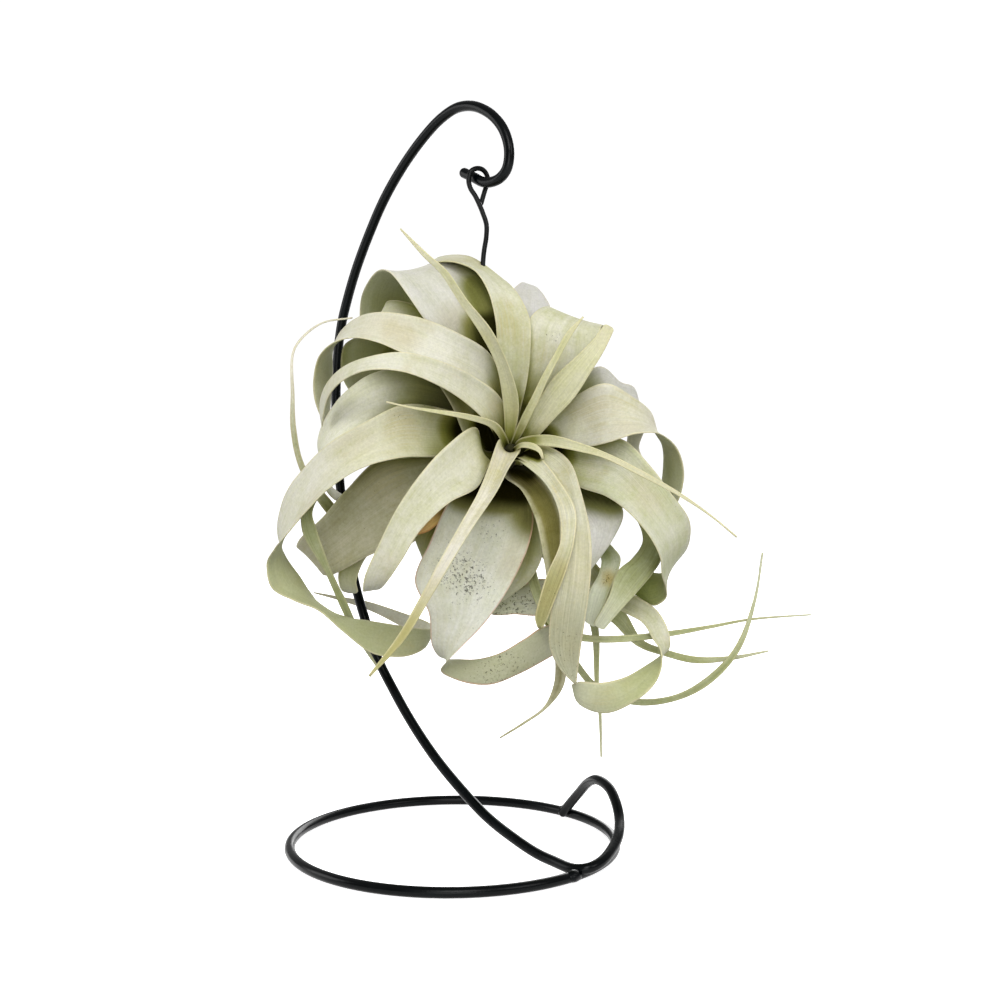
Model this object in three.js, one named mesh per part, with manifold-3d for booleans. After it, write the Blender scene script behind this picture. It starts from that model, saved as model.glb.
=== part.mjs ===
// An air plant with broad curling leaves, hung by a thin wire from a bent-wire stand.
// Millimetres, +Z up, the viewer's side is -Y. The stand's ring lies on the table.
import * as THREE from "three";
import { mergeVertices } from "three/addons/utils/BufferGeometryUtils.js";
import Module from "manifold-3d";

// ---- Stand: one closed ring and one long bent wire, both of the same coated steel wire.
const STAND_WIRE = 4.2;
const RING_RADIUS = 67;
const WIRE_SIDES = 8;
const RING_SEGMENTS = 48;
const WELD_GAP = 0.3;

// The long wire's big curve lies in one upright plane through the ring's axis.
const PLANE_X = 0.743;
const PLANE_Y = -0.669;

// The arch behind the foot of the curve: its cut end, its top, then down to the ring.
const ARCH = [
  [47.5, 43.5, 2.6], [49.5, 41, 6], [54, 33, 14], [57.5, 24, 20.7], [61, 14, 24.2], [65, 5, 23],
  [67.2, -4, 18.8], [67.8, -12, 14.5], [66.3, -24, 11], [62.7, -34, 8], [58, -42, 5.8],
  [53, -45.3, 4.5], [47.8, -44, 3.8],
];
// The big curve, as distance along its plane from the ring's axis, and height.
const CURVE = [
  [54, 4.5], [45, 6], [33, 9.8], [19, 15.6], [4.5, 24.5], [-10.5, 35.5], [-24.5, 48.5], [-36, 61.5],
  [-46, 74.5], [-53, 89], [-59, 103], [-63.5, 118], [-69, 146], [-71.7, 170], [-71.7, 191], [-70.5, 206],
  [-68, 219], [-64, 230], [-58, 243], [-49.5, 257.5], [-40.5, 270.5], [-29.5, 282.5], [-17, 293],
  [-6, 299.7], [3.5, 302.5], [13, 301.3], [22.5, 296], [28.5, 289], [31, 281], [29.6, 274.2],
  [25, 270.8], [18, 270.6], [11.5, 273.6], [4, 277],
];

// ---- Hanger: a thin wire with an eye round the hook, wound round the plant's stem below.
const HANGER_WIRE = 2;
const HANGER_SIDES = 6;
const HANGER_TURNS = 2;
const HANGER_PITCH = 2.8;
const HANGER_ROUTE = [
  [11.8, -7.4, 263], [13.3, -7.7, 268], [14.6, -7.8, 272.2], [13.2, -9, 275.6], [10.6, -10.3, 276.5],
  [7.8, -11.7, 275], [6.9, -11.4, 271.5], [7.6, -11.1, 268.5], [9.5, -10.8, 265.5],
  [11.2, -10.7, 262], [12.8, -10.7, 258], [14, -10.8, 254], [13.9, -10.9, 249], [13.1, -11, 244],
  [12.6, -10.8, 239], [12.4, -8, 225], [12, -2, 205], [10, 5, 185],
];

// ---- Plant: leaves are placed as the viewer sees them, from an eye straight in front.
// A place is (across, up, forward): millimetres to the right of the crown, above it, and
// nearer to the eye than it, all measured at the crown's own distance from the eye.
const CROWN = new THREE.Vector3(24.5, -15, 166);
const EYE = new THREE.Vector3(19.4, -570.4, 165);
const ACROSS = new THREE.Vector3(1, 0, 0);
const UP = new THREE.Vector3(0, 0.0377, 0.9993);
const EYE_DISTANCE = EYE.distanceTo(CROWN);

// The short stem behind the crown. It leans back and down.
const STEM_AXIS = new THREE.Vector3(-0.256, 0.854, -0.453).normalize();
const STEM_SIDES = 20;
const STEM_PROFILE = [ // [radius, distance behind the crown]
  [0, 1], [1.6, 1.6], [2.8, 5], [4.4, 11], [5.8, 19], [6.4, 27], [6.4, 39], [5.2, 44], [3, 47], [0, 48],
];
const STEM_WRAP_AT = 35;

// Leaf blade.
const MID_THICKNESS = 1.2;
const EDGE_THICKNESS = 0.6;
const THINNEST = 0.5;
const BASE_CUP = 0.2; // depth of the channel at the base, as a share of the width
const TIP_CUP = 0.05;
const DEEP_CUPS = { spear_down: 0.5 }; // blades that are folded deeper at the base
const LEAF_GAP = 0.35; // room left where the blades crowd together at the stem
const STEPS_PER_STATION = 1.7;

// A leaf is a list of stations from its base to its tip. Each station is
// [left across, left up, right across, right up, forward, lean]: where the blade's two
// edges lie, looking at its upper face, and how far the right edge is nearer than the left.
// The leaves nearest to the crown come first.
const LEAVES = {
  spear_down: [
    [1, -2, -4, -3, -5, 0], [3, -2, -5.5, 2, 8, 0], [-1.5, -9, -9.5, -8.5, 19, 0],
    [-7, -19.5, -14, -19.5, 31, 0], [-15, -31.5, -20.5, -31, 40, 0], [-24, -46, -29, -46, 46, 0],
    [-33.5, -62, -37, -61, 49, 0], [-43.5, -78, -46, -76.5, 49, 0], [-57, -92.5, -57.5, -92, 47, 0],
  ],
  small_curl: [
    [-1, -2, 0, -4, -4, 0], [4, 1, 3.5, -1, 11, 0], [8.5, 0.5, 7.5, -1.5, 16, 0],
    [11.5, -2, 10.5, -3, 18.5, 0], [12.3, -5.5, 11.7, -5.5, 18.5, 0],
  ],
  spear_thin_up: [
    [-2, -2, 0.5, -1.5, -5, 0], [3.5, 11, 6.8, 10.5, 12, 1], [7.6, 19, 10.6, 18.5, 18, 1],
    [11.5, 27, 14, 26.2, 22, 1], [16.5, 36, 18.7, 35.2, 25, 0.5],
    [21.7, 45, 23.6, 44.2, 27, 0.5], [28, 51.3, 28.3, 51.1, 28, 0],
  ],
  spear_left: [
    [-3, -1, -0.5, -2, -5, 0], [-3.7, 16, 2.3, 17, 9, 3], [-6.6, 32, -2, 32.5, 18, 2.5],
    [-13.2, 45, -8.6, 46, 24, 2], [-21.3, 57, -18.3, 58, 28, 1.5],
    [-29, 68.8, -26.5, 69.8, 30, 1], [-35.3, 74.9, -33.6, 75.9, 31, 0.5],
    [-45, 86.2, -44.8, 86.5, 32, 0],
  ],
  thin_left: [
    [-3, -3, -0.5, -2, -6, 0], [-6, 4, -3.3, 4.8, 4, 0], [-9.5, 7.5, -6.8, 9, 10, 0],
    [-19, 10.5, -18, 12.3, 19, 0], [-29, 12.5, -29, 13.9, 27, 0], [-40, 14.5, -40, 15.2, 33, 0],
    [-50.5, 17, -50.5, 17.4, 36, 0],
  ],
  spear_right: [
    [0, -1.5, 1, -4, -6, 0], [3, 2.5, 3.5, -0.5, 5, 0], [15, 3.9, 15.5, -0.5, 18, 0],
    [27, 0.7, 26.5, -2.5, 27, 0], [37, -3.1, 36, -5, 33, 0], [51, -10, 50.5, -12, 38, 0],
    [67.5, -19.6, 67.2, -20.8, 41, 0], [79, -27.8, 79, -28.5, 41, 0],
    [89.5, -36.5, 89.3, -36.9, 40, 0],
  ],
  spear_broad_up: [
    [-1, -3.5, 2, -5, -8, 0], [4.5, 7, 11, 4.5, 5, 0], [10, 17, 17, 11, 11, 1],
    [16.5, 27, 24.5, 19, 16, 2], [25, 35, 31, 29, 19, 2], [32, 42, 36.5, 38, 20, 1],
    [37, 48.5, 40.5, 46.5, 20, 0],
  ],
  front_short: [
    [0, -5, -2, -6, -8, 0], [10, -4.5, 3.5, -7, 14, 0], [17.5, -13, 13.5, -16, 27, 0],
    [25, -26, 18.5, -27, 36.5, 0], [24.5, -38, 19, -39, 41, 0], [21.3, -50, 14, -51, 42, 0],
    [17, -61, 11, -60.5, 41, 0], [13.4, -70, 9, -69, 39, 0], [11.5, -73.5, 10, -73, 38, 0],
  ],
  front_hanging: [
    [2, -4, -1, -6, -10, 0], [13, -0.5, 3, -5.5, 10, 2], [22.5, -6.5, 13, -13.5, 22, 2],
    [27.5, -20, 18, -24, 32, 0], [31, -36, 19, -38, 37, 0], [31, -52, 17.5, -54, 38, 0],
    [29, -68, 15, -69, 36, 0], [27, -81, 15, -81, 33, 0], [26, -89, 19, -89.5, 31, 0],
    [25.2, -95.5, 24.8, -95.5, 30, 0],
  ],
  front_left: [
    [-4, -4, -6, -2.5, -10, 0], [-7, -8.5, -11.5, -2, -2, 1], [-9, -7, -15, 7, 8, 2],
    [-14.5, -17, -26.5, -0.5, 20, 3], [-25.5, -23, -37, -12, 29, 3],
    [-37, -34, -46.5, -26, 34, 2], [-44.5, -46, -54, -41, 34, 0],
    [-49.5, -53.5, -59, -52.5, 31, 0], [-52.5, -57, -59.7, -57.5, 27, 0],
    [-55, -57.5, -59.5, -58.4, 22, 0], [-57, -55.5, -59, -56.2, 18, 0],
  ],
  top: [
    [-5, -4, 0, -3, -10, 0], [-3.5, 13, 3, 14, 0, 0], [-5, 26, 5.5, 25, 7, -1],
    [-6, 40, 7, 39, 12, -2], [-7, 51, 6.5, 51, 13, -4], [-10, 62, 1.5, 61, 11, -7],
    [-15.5, 70, -5, 67, 6, -10], [-23, 73, -17, 75, 0, -12], [-30, 73, -27.5, 75.5, -9, -10],
    [-33, 71.6, -31.5, 73.6, -16, -8], [-34.5, 67, -33.5, 68.5, -22, 0], [-35, 62, -34.6, 62, -26, 0],
  ],
  left_narrow: [
    [-5, -5, -3, -2.5, -11, 0], [-9, 7, -4, 17, 5, -2], [-19.5, 17.5, -15, 27, 18, -2],
    [-32, 25, -29, 33.5, 28, -3], [-45, 29.5, -44, 37, 33, -4], [-57.5, 30, -58, 35, 32, -5],
    [-67.5, 26, -68.5, 30.5, 24, -6], [-73.5, 19.5, -75, 23, 13, -7], [-75.5, 12, -77, 15, 4, -6],
    [-76, 7.5, -76.3, 7.9, 0, 0],
  ],
  upper_left: [
    [-6, -6, -3, -3, -13, 0], [-7, 15, -4, 24, 2, -2], [-13, 23.5, -9, 36, 9, -4],
    [-26, 29.5, -22.5, 45, 20, -5], [-40, 35, -38, 51, 24, -6], [-53.5, 41, -53, 53, 21, -9],
    [-63.5, 43, -62.5, 50.5, 14, -14], [-71.5, 41, -69, 44.5, 6, -17], [-77.5, 35, -72, 37, -2, -16],
    [-79.5, 26, -72, 28, -8, -14], [-79, 18, -72.5, 19, -11, -11], [-76.5, 11, -73, 12.5, -13, -7],
    [-73.5, 6, -73.1, 6, -14, 0],
  ],
  top_right: [
    [-1, -7, 3, -8.5, -13, 0], [1.5, 15, 14.5, 10, -5, 0], [3, 27, 25, 21, 3, 0],
    [4, 38, 33, 33, 7, 0], [6.9, 50.4, 34.5, 44.5, 6, -2], [13, 55.3, 35.5, 47.7, -2, -2],
    [19, 52, 37, 45.5, -13, 0], [24, 44, 36, 38, -21, 0], [30.5, 33, 31, 33, -24, 0],
  ],
  right_broad: [
    [1, -7, 2, -9, -14, 0], [13, 9, 16, -1, -2, 0], [24.5, 19, 27, -1, 6, 2],
    [37, 24.5, 37.5, 1, 12, 6], [48, 19, 48.5, 4.5, 12, 10], [55, 13, 56, 5, 7, 14],
    [57.5, 5.5, 60.5, 3.5, 0, 16], [60, -2, 65.5, -1.5, -7, 15], [60, -10, 68, -9.5, -12, 13],
    [59.5, -17, 67.5, -17.5, -16, 10], [59.5, -24, 64.5, -25, -20, 6], [60, -30, 60.4, -30, -23, 0],
  ],
  inner_olive: [
    [0, -8, -3, -9, -13, 0], [9, -10, -3, -13, 3, 0], [16.5, -19, 3.5, -18, 12, 0],
    [20.5, -29, 9, -29, 17, 0], [21.5, -40, 11.5, -40, 18, 0], [21.5, -52, 13.5, -52, 16, 0],
    [21, -68, 15.5, -68, 12, 0], [21.5, -84, 17, -84, 8, 0], [20, -96.5, 16.5, -95.5, 4, 0],
    [13.5, -105, 12.5, -104.5, 2, 0], [5, -111, 4.5, -110.5, 1, 0], [-5, -117, -5.2, -116.7, 0, 0],
  ],
  upper_left_back: [
    [-6, -8, -1, -6, -15, 0], [-16, 24, -5, 27, 3, -2], [-25.5, 39, -5, 43, 8, -4],
    [-35, 50, -5, 56, 13, -8], [-41.5, 59.5, -9, 65.5, 11, -16], [-49, 69, -18, 73, 6, -18],
    [-55, 68.6, -32.5, 72.4, -7, -18], [-60, 60.5, -35, 62, -20, -14], [-61, 52, -34, 52, -28, -10],
    [-60, 40, -39, 41, -32, -6], [-57, 31, -48, 32, -34, 0], [-53, 27, -52.6, 27, -35, 0],
  ],
  folded_left: [
    [-7, -7, -4, -5, -15, 0], [-19, 4, -7, 13, -3, -2], [-24, 15, -13, 25, -1, -2],
    [-30, 24.5, -17.5, 38, 3, -3], [-39, 34, -29, 48, 4, -4], [-49.5, 41, -41, 56.5, 2, -8],
    [-59.5, 43, -50.5, 57, -2, -10], [-67, 40, -48, 49.5, -9, -8], [-68.5, 33, -43, 40, -15, -8],
    [-67.5, 26, -44, 31, -20, -5], [-63.5, 20, -52, 24, -23, -2], [-58, 17, -57.6, 17, -25, 0],
  ],
  left_broad: [
    [-8, -9, -5, -6, -18, 0], [-13, 5, -9, 16, -13, -2], [-28, 8, -25.5, 26, -4, -4],
    [-45, 8, -41, 30.5, 5, -6], [-60, 3, -56, 28.5, 10, -8], [-71, -3, -69.5, 18, 6, -10],
    [-76, -10, -77.5, 3, -6, -14], [-74.5, -18, -76, -8, -18, -12], [-70.5, -22, -73, -16, -26, -8],
    [-65, -22, -64.6, -22, -32, 0],
  ],
  left_large: [
    [-6, -11, -3, -7, -18, 0], [-16, 1, -12, 10, -9, -2], [-28, -4, -26, 14, 3, -3],
    [-45, -5, -44, 16, 18, -4], [-60, -9, -59, 9, 23, -6], [-73, -17, -72.5, 1, 20, -9],
    [-83, -27, -84.3, -10.5, 13, -13], [-89, -34.5, -91.5, -21, 6, -16], [-94.5, -41, -94, -35, -1, -18],
    [-98, -47.5, -91, -44, -6, -15], [-96, -57, -85, -52.5, -9, -12], [-87.5, -62, -80.5, -59.5, -11, -13],
    [-77.5, -66, -76, -64.5, -12, -14], [-67.5, -74.5, -66.5, -68.5, -13, -11],
    [-56, -83, -55, -70.5, -15, -8], [-44, -84.5, -43, -72.5, -19, -6], [-35, -81, -34, -73.5, -30, -5],
    [-35, -76.5, -33.5, -71, -46, -3], [-43, -73, -44, -67, -57, -2], [-57, -66, -58, -62.5, -62, -1],
    [-69, -62, -69.5, -60.5, -63, 0], [-79.5, -59, -79.7, -58.7, -62, 0],
  ],
  dried_tip: [
    [-6, -9, -4, -10.5, -17, 0], [-14, -19, -16, -15.5, -11, 0], [-24, -27, -26.5, -22, -8, 0],
    [-30, -31.5, -33, -26.5, -7, 0], [-34, -34.5, -37, -30.5, -6, 0],
    [-39.5, -36, -39.8, -35.7, -5, 0],
  ],
  bottom_broad: [
    [-3, -12, -8, -10.5, -17, 0], [4, -15, -11, -13, -6, 0], [8, -27, -24, -21, 0, 0],
    [6.5, -39, -33, -39, 5, 0], [-0.5, -55, -39, -54, 8, -2], [-10.5, -70, -33.5, -67, 8, -6],
    [-20.5, -80.5, -32, -80, 5, -10], [-26.5, -86.5, -28, -85, 0, -14], [-28.5, -90.5, -22, -85.5, -5, -11],
    [-20, -94.5, -14, -85.5, -8, -6], [-9, -95.5, -5, -83, -11, -3], [3, -91, 4.5, -77.5, -14, 0],
    [15, -84.5, 12.5, -72.5, -19, 0], [25, -78, 23, -71, -25, 0], [29, -68, 28.6, -67.8, -30, 0],
  ],
  right_lower: [
    [0, -9.5, 2, -12, -18, 0], [17.5, 0, 15, -10, -6, 0], [31, 3, 27.5, -17, 3, 2],
    [44, 2, 37.5, -20.5, 9, 3], [54.5, -8, 47, -27.5, 12, 5], [63, -19, 55, -37, 11, 8],
    [70.5, -30.5, 59, -45, 6, 12], [69.5, -41, 59.5, -51.5, 0, 14], [64.5, -47, 61, -57, -7, 15],
    [60, -51, 61, -61, -12, 13], [54.5, -51, 57, -64, -16, 10], [51, -53, 53.5, -63, -20, 6],
    [48, -59, 48.3, -59.4, -24, 0],
  ],
  lower_left: [
    [-6, -13, -9, -10, -19, 0], [-17, -16, -22, -3, -8, 0], [-32, -24, -39, -4, -1, 0],
    [-44, -38, -53.5, -6, -1, 0], [-57.5, -44, -66.5, -18, -6, 0], [-66.5, -49, -76, -29, -13, -3],
    [-73, -52, -85, -37.5, -24, -6], [-76, -51, -85.5, -41, -36, -4], [-73, -46, -77.5, -38, -44, 0],
    [-69, -40, -69.3, -39.7, -48, 0],
  ],
  olive_left: [
    [-8, -12, -6, -10, -19, 0], [-24, -6, -23, 0, -4, 0], [-41, -5, -41, 0, 4, 0],
    [-61, -9, -61, -4, 9, 0], [-73.5, -16, -74, -11, 8, 0], [-80, -26.5, -83.2, -22, 5, 0],
    [-78.2, -34, -84, -34, 2, 0], [-72.5, -50, -75, -50.5, -5, 0],
    [-65.5, -64.5, -68.5, -65, -16, 0], [-61.5, -74, -63.5, -75, -26, 0],
    [-57, -83, -58, -83.4, -27, 0], [-53.5, -89, -53.8, -89.3, -25, 0],
  ],
  bottom_inner: [
    [-5, -13, -8, -12, -20, 0], [7, -19, -7, -19, -13, 0], [10.5, -30, -7, -32, -9, 0],
    [12, -42, -8, -44, -8, 0], [7.5, -53, -11, -56, -10, 0], [-1.5, -60.5, -15, -64, -13, 0],
    [-11, -67, -11.4, -67, -16, 0],
  ],
  left_curled_tip: [
    [-8, -14, -11, -11, -22, 0], [-25, -24, -29, -19, -13, 0], [-41, -38, -45.5, -31, -11, 0],
    [-57, -43, -63, -38, -15, 0], [-62.5, -54, -69.5, -51, -20, 0], [-62, -58.5, -68.5, -57.5, -25, 0],
    [-65, -59, -65.4, -59, -32, 0],
  ],
  lower_left_inner: [
    [-8, -13, -5, -14, -22, 0], [-14, -22, -19, -17, -17, 0], [-26, -32, -32, -26, -15, 0],
    [-32, -41, -39, -35, -15, 0], [-30.5, -47, -36.5, -44, -17, 0], [-28, -52, -33, -51, -20, 0],
    [-27, -58, -27.4, -58, -24, 0],
  ],
  top_back: [
    [-5, -9, -1, -10, -19, 0], [-5, 16, 7, 16, -13, 0], [-5, 34, 11, 34, -8, 0],
    [-2.5, 50, 15, 49, -8, 0], [-0.5, 59, 14.9, 55.3, -12, 0], [0.6, 62.2, 13.4, 58.2, -17, 0],
    [2.4, 64, 11.2, 61.2, -22, 0], [4.4, 64.7, 9, 63.2, -28, 0], [7, 61, 10, 60.5, -35, 0],
    [7.5, 50, 9.5, 50, -42, 0], [8.3, 39, 8.7, 39, -45, 0],
  ],
  right_back: [
    [-3, -10, 0, -12, -21, 0], [15, 16, 17.5, 3.5, -12, 0], [25.5, 26, 31, 10, -6, 0],
    [35, 31.3, 42.5, 15, -5, 0], [42.5, 25.3, 49.5, 13, -10, 2], [48.5, 22.6, 53, 11, -20, 2],
    [50, 14, 52.5, 6, -30, 0], [46, 4, 50.3, -1, -36, 0], [46, -4, 52, -7, -38, 0],
    [48, -11, 48.4, -11, -38, 0],
  ],
  right_pale: [
    [-1, -13, -4, -14, -21, 0], [19, -10, 11, -19, -12, 0], [35, -16, 21.5, -31, -6, 0],
    [44, -26.5, 26, -38, -5, 0], [39.3, -38.5, 27, -46, -8, 0], [34, -46, 28.5, -50, -11, 0],
    [29, -52, 28.7, -52.3, -13, 0],
  ],
  right_green: [
    [-2, -14, -4.5, -15, -24, 0], [19, -21, 13, -25, -18, 0], [34, -35, 28.5, -41, -19, 0],
    [40.5, -41.5, 35, -44.5, -17, 0], [43, -46, 34.5, -51, -11, 0], [38, -59.5, 30.5, -59, -7, 0],
    [33, -73, 28.5, -70.5, -7, 0],
  ],
  right_band: [
    [0, -13, 2, -15, -25, 0], [23, -12, 18.5, -19, -20, 0], [41, -10, 36, -18, -19, 0],
    [54, -19, 47, -26, -18, 0], [62, -32, 52, -37.5, -14, 0], [59, -46, 47.5, -45.5, -8, 0],
    [56, -51, 42.8, -49.3, -6, 0], [51, -57, 40.8, -53, -4, 0], [42, -67, 38.3, -60.5, -1, 0],
    [36, -74, 32, -71.5, -2, 0],
  ],
  left_tip: [
    [-9, -14, -6, -12, -24, 0], [-25, -30, -27, -24, -19, 0], [-47, -39, -48, -33, -24, 0],
    [-65, -36, -65, -31, -27, 0], [-75.5, -25.5, -71.5, -23.5, -25, 0],
    [-85, -9.5, -83, -8.5, -20, 0], [-88.5, 6, -86.5, 6, -16, 0], [-88.5, 20, -87.3, 20, -14, 0],
    [-88, 37, -87.3, 37, -14, 0], [-84.2, 43.2, -83.6, 42.8, -15, 0],
    [-76, 49, -76, 48.5, -17, 0], [-64, 51, -64, 50.6, -20, 0],
  ],
  ring_curl: [
    [-4, -15, -1, -17, -26, 0], [13, -22, 8, -26, -24, 0], [27, -40, 21, -44, -26, 0],
    [40, -54.5, 34.5, -61, -24, 0], [49.5, -60.5, 45, -67, -18, 0], [57.5, -66, 52, -71, -11, 0],
    [62, -74, 56, -77.5, -6, 3], [62.5, -81, 59, -82, -3, 8], [58, -85, 59.5, -88, 0, 10],
    [51, -89.5, 56.5, -95.5, 4, 8], [43.5, -93.2, 47.5, -103, 8, 4], [35, -95, 36.5, -107, 10, 0],
    [27, -94.5, 26, -103, 8, 0], [24, -95.5, 23.6, -96, 4, 0],
  ],
  tip_straight: [
    [-3, -15.5, -2, -17.5, -27, 0], [6.5, -40, 3, -41, -18, 0], [13, -62, 9.5, -63.5, -14, 0],
    [21, -73, 19, -76, -12, 0], [31, -76, 31, -78.5, -12, 0], [45, -76, 45, -78.5, -12, 0],
    [63, -74.2, 63, -76.2, -14, 0], [79, -71.9, 79, -73.1, -14, 0], [95, -69.2, 95, -69.9, -14, 0],
    [119, -67.5, 119, -67.9, -14, 0],
  ],
  bottom_back: [
    [-8, -15, -5, -17, -26, 0], [-5, -30, -9.5, -32, -21, 0], [-8, -48, -17, -52, -21, 0],
    [-5, -58, -9.5, -67, -21, 0], [3, -56, 1, -67.5, -21, 0], [13, -53.5, 12, -67.5, -22, 0],
    [20, -59, 20, -59.5, -24, 0],
  ],
  tip_vertical: [
    [-4, -16, -2, -17, -28, 0], [13, -30, 10.5, -31.5, -30, 0], [26.5, -52, 23, -53, -32, 0],
    [33.5, -70, 30.5, -70.5, -30, 0], [34.5, -78, 32, -78, -28, 0], [34.3, -95, 32.8, -95, -24, 0],
    [35.3, -107, 34.3, -107, -20, 0], [35.5, -124.5, 35.1, -124.5, -16, 0],
  ],
  tip_curved: [
    [-2, -16, 0, -18, -29, 0], [17, -30, 13, -33, -34, 0], [31, -58, 27, -61, -37, 0],
    [44, -66, 39.5, -70.5, -34, 0], [51.5, -77.5, 49.5, -80, -28, 0], [61, -81.6, 60.5, -84.1, -22, 0],
    [73, -84.5, 73, -87, -18, 0], [87, -84.3, 87, -85.8, -16, 0], [102, -82, 102, -82.4, -14, 0],
  ],
  tip_rising: [
    [-5, -16, -3, -18, -31, 0], [3, -38, 0, -40, -28, 0], [14.5, -66, 11, -68, -33, 0],
    [26.5, -87, 24.5, -88.5, -30, 0], [35, -96.5, 33.5, -98.5, -28, 0], [49, -101.2, 49, -103.7, -22, 0],
    [64, -100, 65, -102, -15, 0], [76.5, -93.4, 78.5, -95.4, -10, 0], [88.5, -81, 90.5, -82, -8, 0],
    [96, -62, 97, -62.5, -8, 0], [99.5, -43, 99.9, -43, -8, 0],
  ],
  back_top: [
    [-9, -12, -7, -11, -27, 0], [-26, 12, -17, 14, -28, 0], [-34, 34, -22, 38, -32, 0],
    [-36, 54, -24, 58, -38, 0], [-34, 66, -24, 69, -48, 0], [-31, 68, -23, 70, -58, 0],
    [-27, 62, -26.6, 62, -66, 0],
  ],
  back_upper_right: [
    [-7, -14, -4, -15, -27, 0], [0, 8, 10, 3, -30, 0], [10, 28, 24, 20, -34, 0],
    [17, 37, 27, 29, -42, 0], [22, 40, 31, 31, -54, 0], [27, 37, 33, 29, -64, 0],
    [31, 30, 31.4, 30, -68, 0],
  ],
  back_upper_left: [
    [-10, -15, -8, -13, -28, 0], [-24, -6, -18, 2, -31, 0], [-42, 8, -32, 20, -37, 0],
    [-54, 22, -44, 34, -45, 0], [-50, 34, -40, 44, -56, 0], [-42, 42, -41.6, 42, -64, 0],
  ],
  back_lower_left: [
    [-8, -17, -11, -15, -30, 0], [-19, -24, -25, -15, -34, 0], [-33, -34, -41, -23, -41, 0],
    [-44, -42, -52, -29, -50, 0], [-46, -46, -54, -35, -60, 0], [-46, -38, -46.4, -38, -68, 0],
  ],
  back_lower: [
    [-6, -17, -9, -18, -31, 0], [10, -29, 1, -33, -36, 0], [24, -44, 15, -49, -43, 0],
    [30, -58, 20, -63, -52, 0], [30, -64, 21, -69, -62, 0], [26, -63, 25.6, -63, -70, 0],
  ],
  back_right: [
    [-5, -15, -4, -17, -30, 0], [14, -8, 10, -18, -34, 0], [32, -6, 26, -20, -37, 0],
    [44, -10, 37, -24, -46, 0], [48, -16, 41, -28, -57, 0], [46, -22, 45.6, -22, -66, 0],
  ],
};

const wasm = await Module();
wasm.setup();

function vector([x, y, z]) {
  return new THREE.Vector3(x, y, z);
}

// A place given as the viewer sees it.
function seen(across, up, forward) {
  const place = CROWN.clone().addScaledVector(ACROSS, across).addScaledVector(UP, up);
  return place.lerp(EYE, forward / EYE_DISTANCE);
}

function onCurvePlane([along, height]) {
  return new THREE.Vector3(along * PLANE_X, along * PLANE_Y, height);
}

function behindCrown(distance) {
  return CROWN.clone().addScaledVector(STEM_AXIS, distance);
}

// A closed mesh as a solid that can be cut, and a solid as a mesh's geometry.
function toSolid(geometry) {
  const bare = geometry.clone();
  bare.deleteAttribute("normal");
  bare.deleteAttribute("uv");
  const merged = mergeVertices(bare, 1e-3);
  return new wasm.Manifold(new wasm.Mesh({
    numProp: 3,
    vertProperties: merged.attributes.position.array,
    triVerts: new Uint32Array(merged.index.array),
  }));
}

function toGeometry(solid) {
  const { vertProperties, triVerts } = solid.getMesh();
  const geometry = new THREE.BufferGeometry();
  geometry.setAttribute("position", new THREE.BufferAttribute(new Float32Array(vertProperties), 3));
  geometry.setIndex(new THREE.BufferAttribute(new Uint32Array(triVerts), 1));
  return geometry;
}

function largestBody(solid) {
  const bodies = solid.decompose();
  return bodies.reduce((best, body) => (body.volume() > best.volume() ? body : best));
}

// A many-sided section whose flats, not its corners, lie at the wire's radius.
function wireSection(diameter, sides) {
  const corner = diameter / 2 / Math.cos(Math.PI / sides);
  const points = [];
  for (let i = 0; i < sides; i += 1) {
    const angle = ((i + 0.5) * 2 * Math.PI) / sides;
    points.push(new THREE.Vector2(corner * Math.cos(angle), corner * Math.sin(angle)));
  }
  return points;
}

function bentWire(points, diameter, sides, steps) {
  return new THREE.ExtrudeGeometry(new THREE.Shape(wireSection(diameter, sides)), {
    steps,
    extrudePath: new THREE.CatmullRomCurve3(points),
  });
}

function ringGeometry(diameter) {
  const profile = wireSection(diameter, WIRE_SIDES).map((p) => p.add(new THREE.Vector2(RING_RADIUS, 0)));
  profile.push(profile[0].clone());
  const ring = new THREE.LatheGeometry(profile, RING_SEGMENTS);
  return ring.rotateX(Math.PI / 2).translate(0, 0, STAND_WIRE / 2);
}

function plantStemGeometry(swell) {
  const profile = STEM_PROFILE.map(([radius, at]) => {
    const grown = radius > 0 ? radius + swell : 0;
    return new THREE.Vector2(grown, radius > 0 ? at : at + (at > 20 ? swell : -swell));
  });
  const stem = new THREE.LatheGeometry(profile, STEM_SIDES);
  stem.applyQuaternion(new THREE.Quaternion().setFromUnitVectors(new THREE.Vector3(0, 1, 0), STEM_AXIS));
  return stem.translate(CROWN.x, CROWN.y, CROWN.z);
}

// The hanger's eye and shank as listed, then turns round the plant's stem. A few extra steps
// carry the last turn on, for the tool that cuts the leaves.
function hangerPoints(extraSteps) {
  const points = HANGER_ROUTE.map(vector);
  const side = new THREE.Vector3(-1, 0, 0).projectOnPlane(STEM_AXIS).normalize();
  const top = new THREE.Vector3().crossVectors(side, STEM_AXIS);
  const stemRadius = STEM_PROFILE[5][0];
  const radius = stemRadius + HANGER_WIRE / 2 + 0.6;
  const perTurn = 10;
  for (let i = 0; i <= HANGER_TURNS * perTurn + extraSteps; i += 1) {
    const angle = (i / perTurn) * 2 * Math.PI;
    const centre = behindCrown(STEM_WRAP_AT + (i / perTurn) * HANGER_PITCH - HANGER_PITCH / 2);
    centre.addScaledVector(side, radius * Math.cos(angle)).addScaledVector(top, -radius * Math.sin(angle));
    points.push(centre);
  }
  return points;
}

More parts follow.
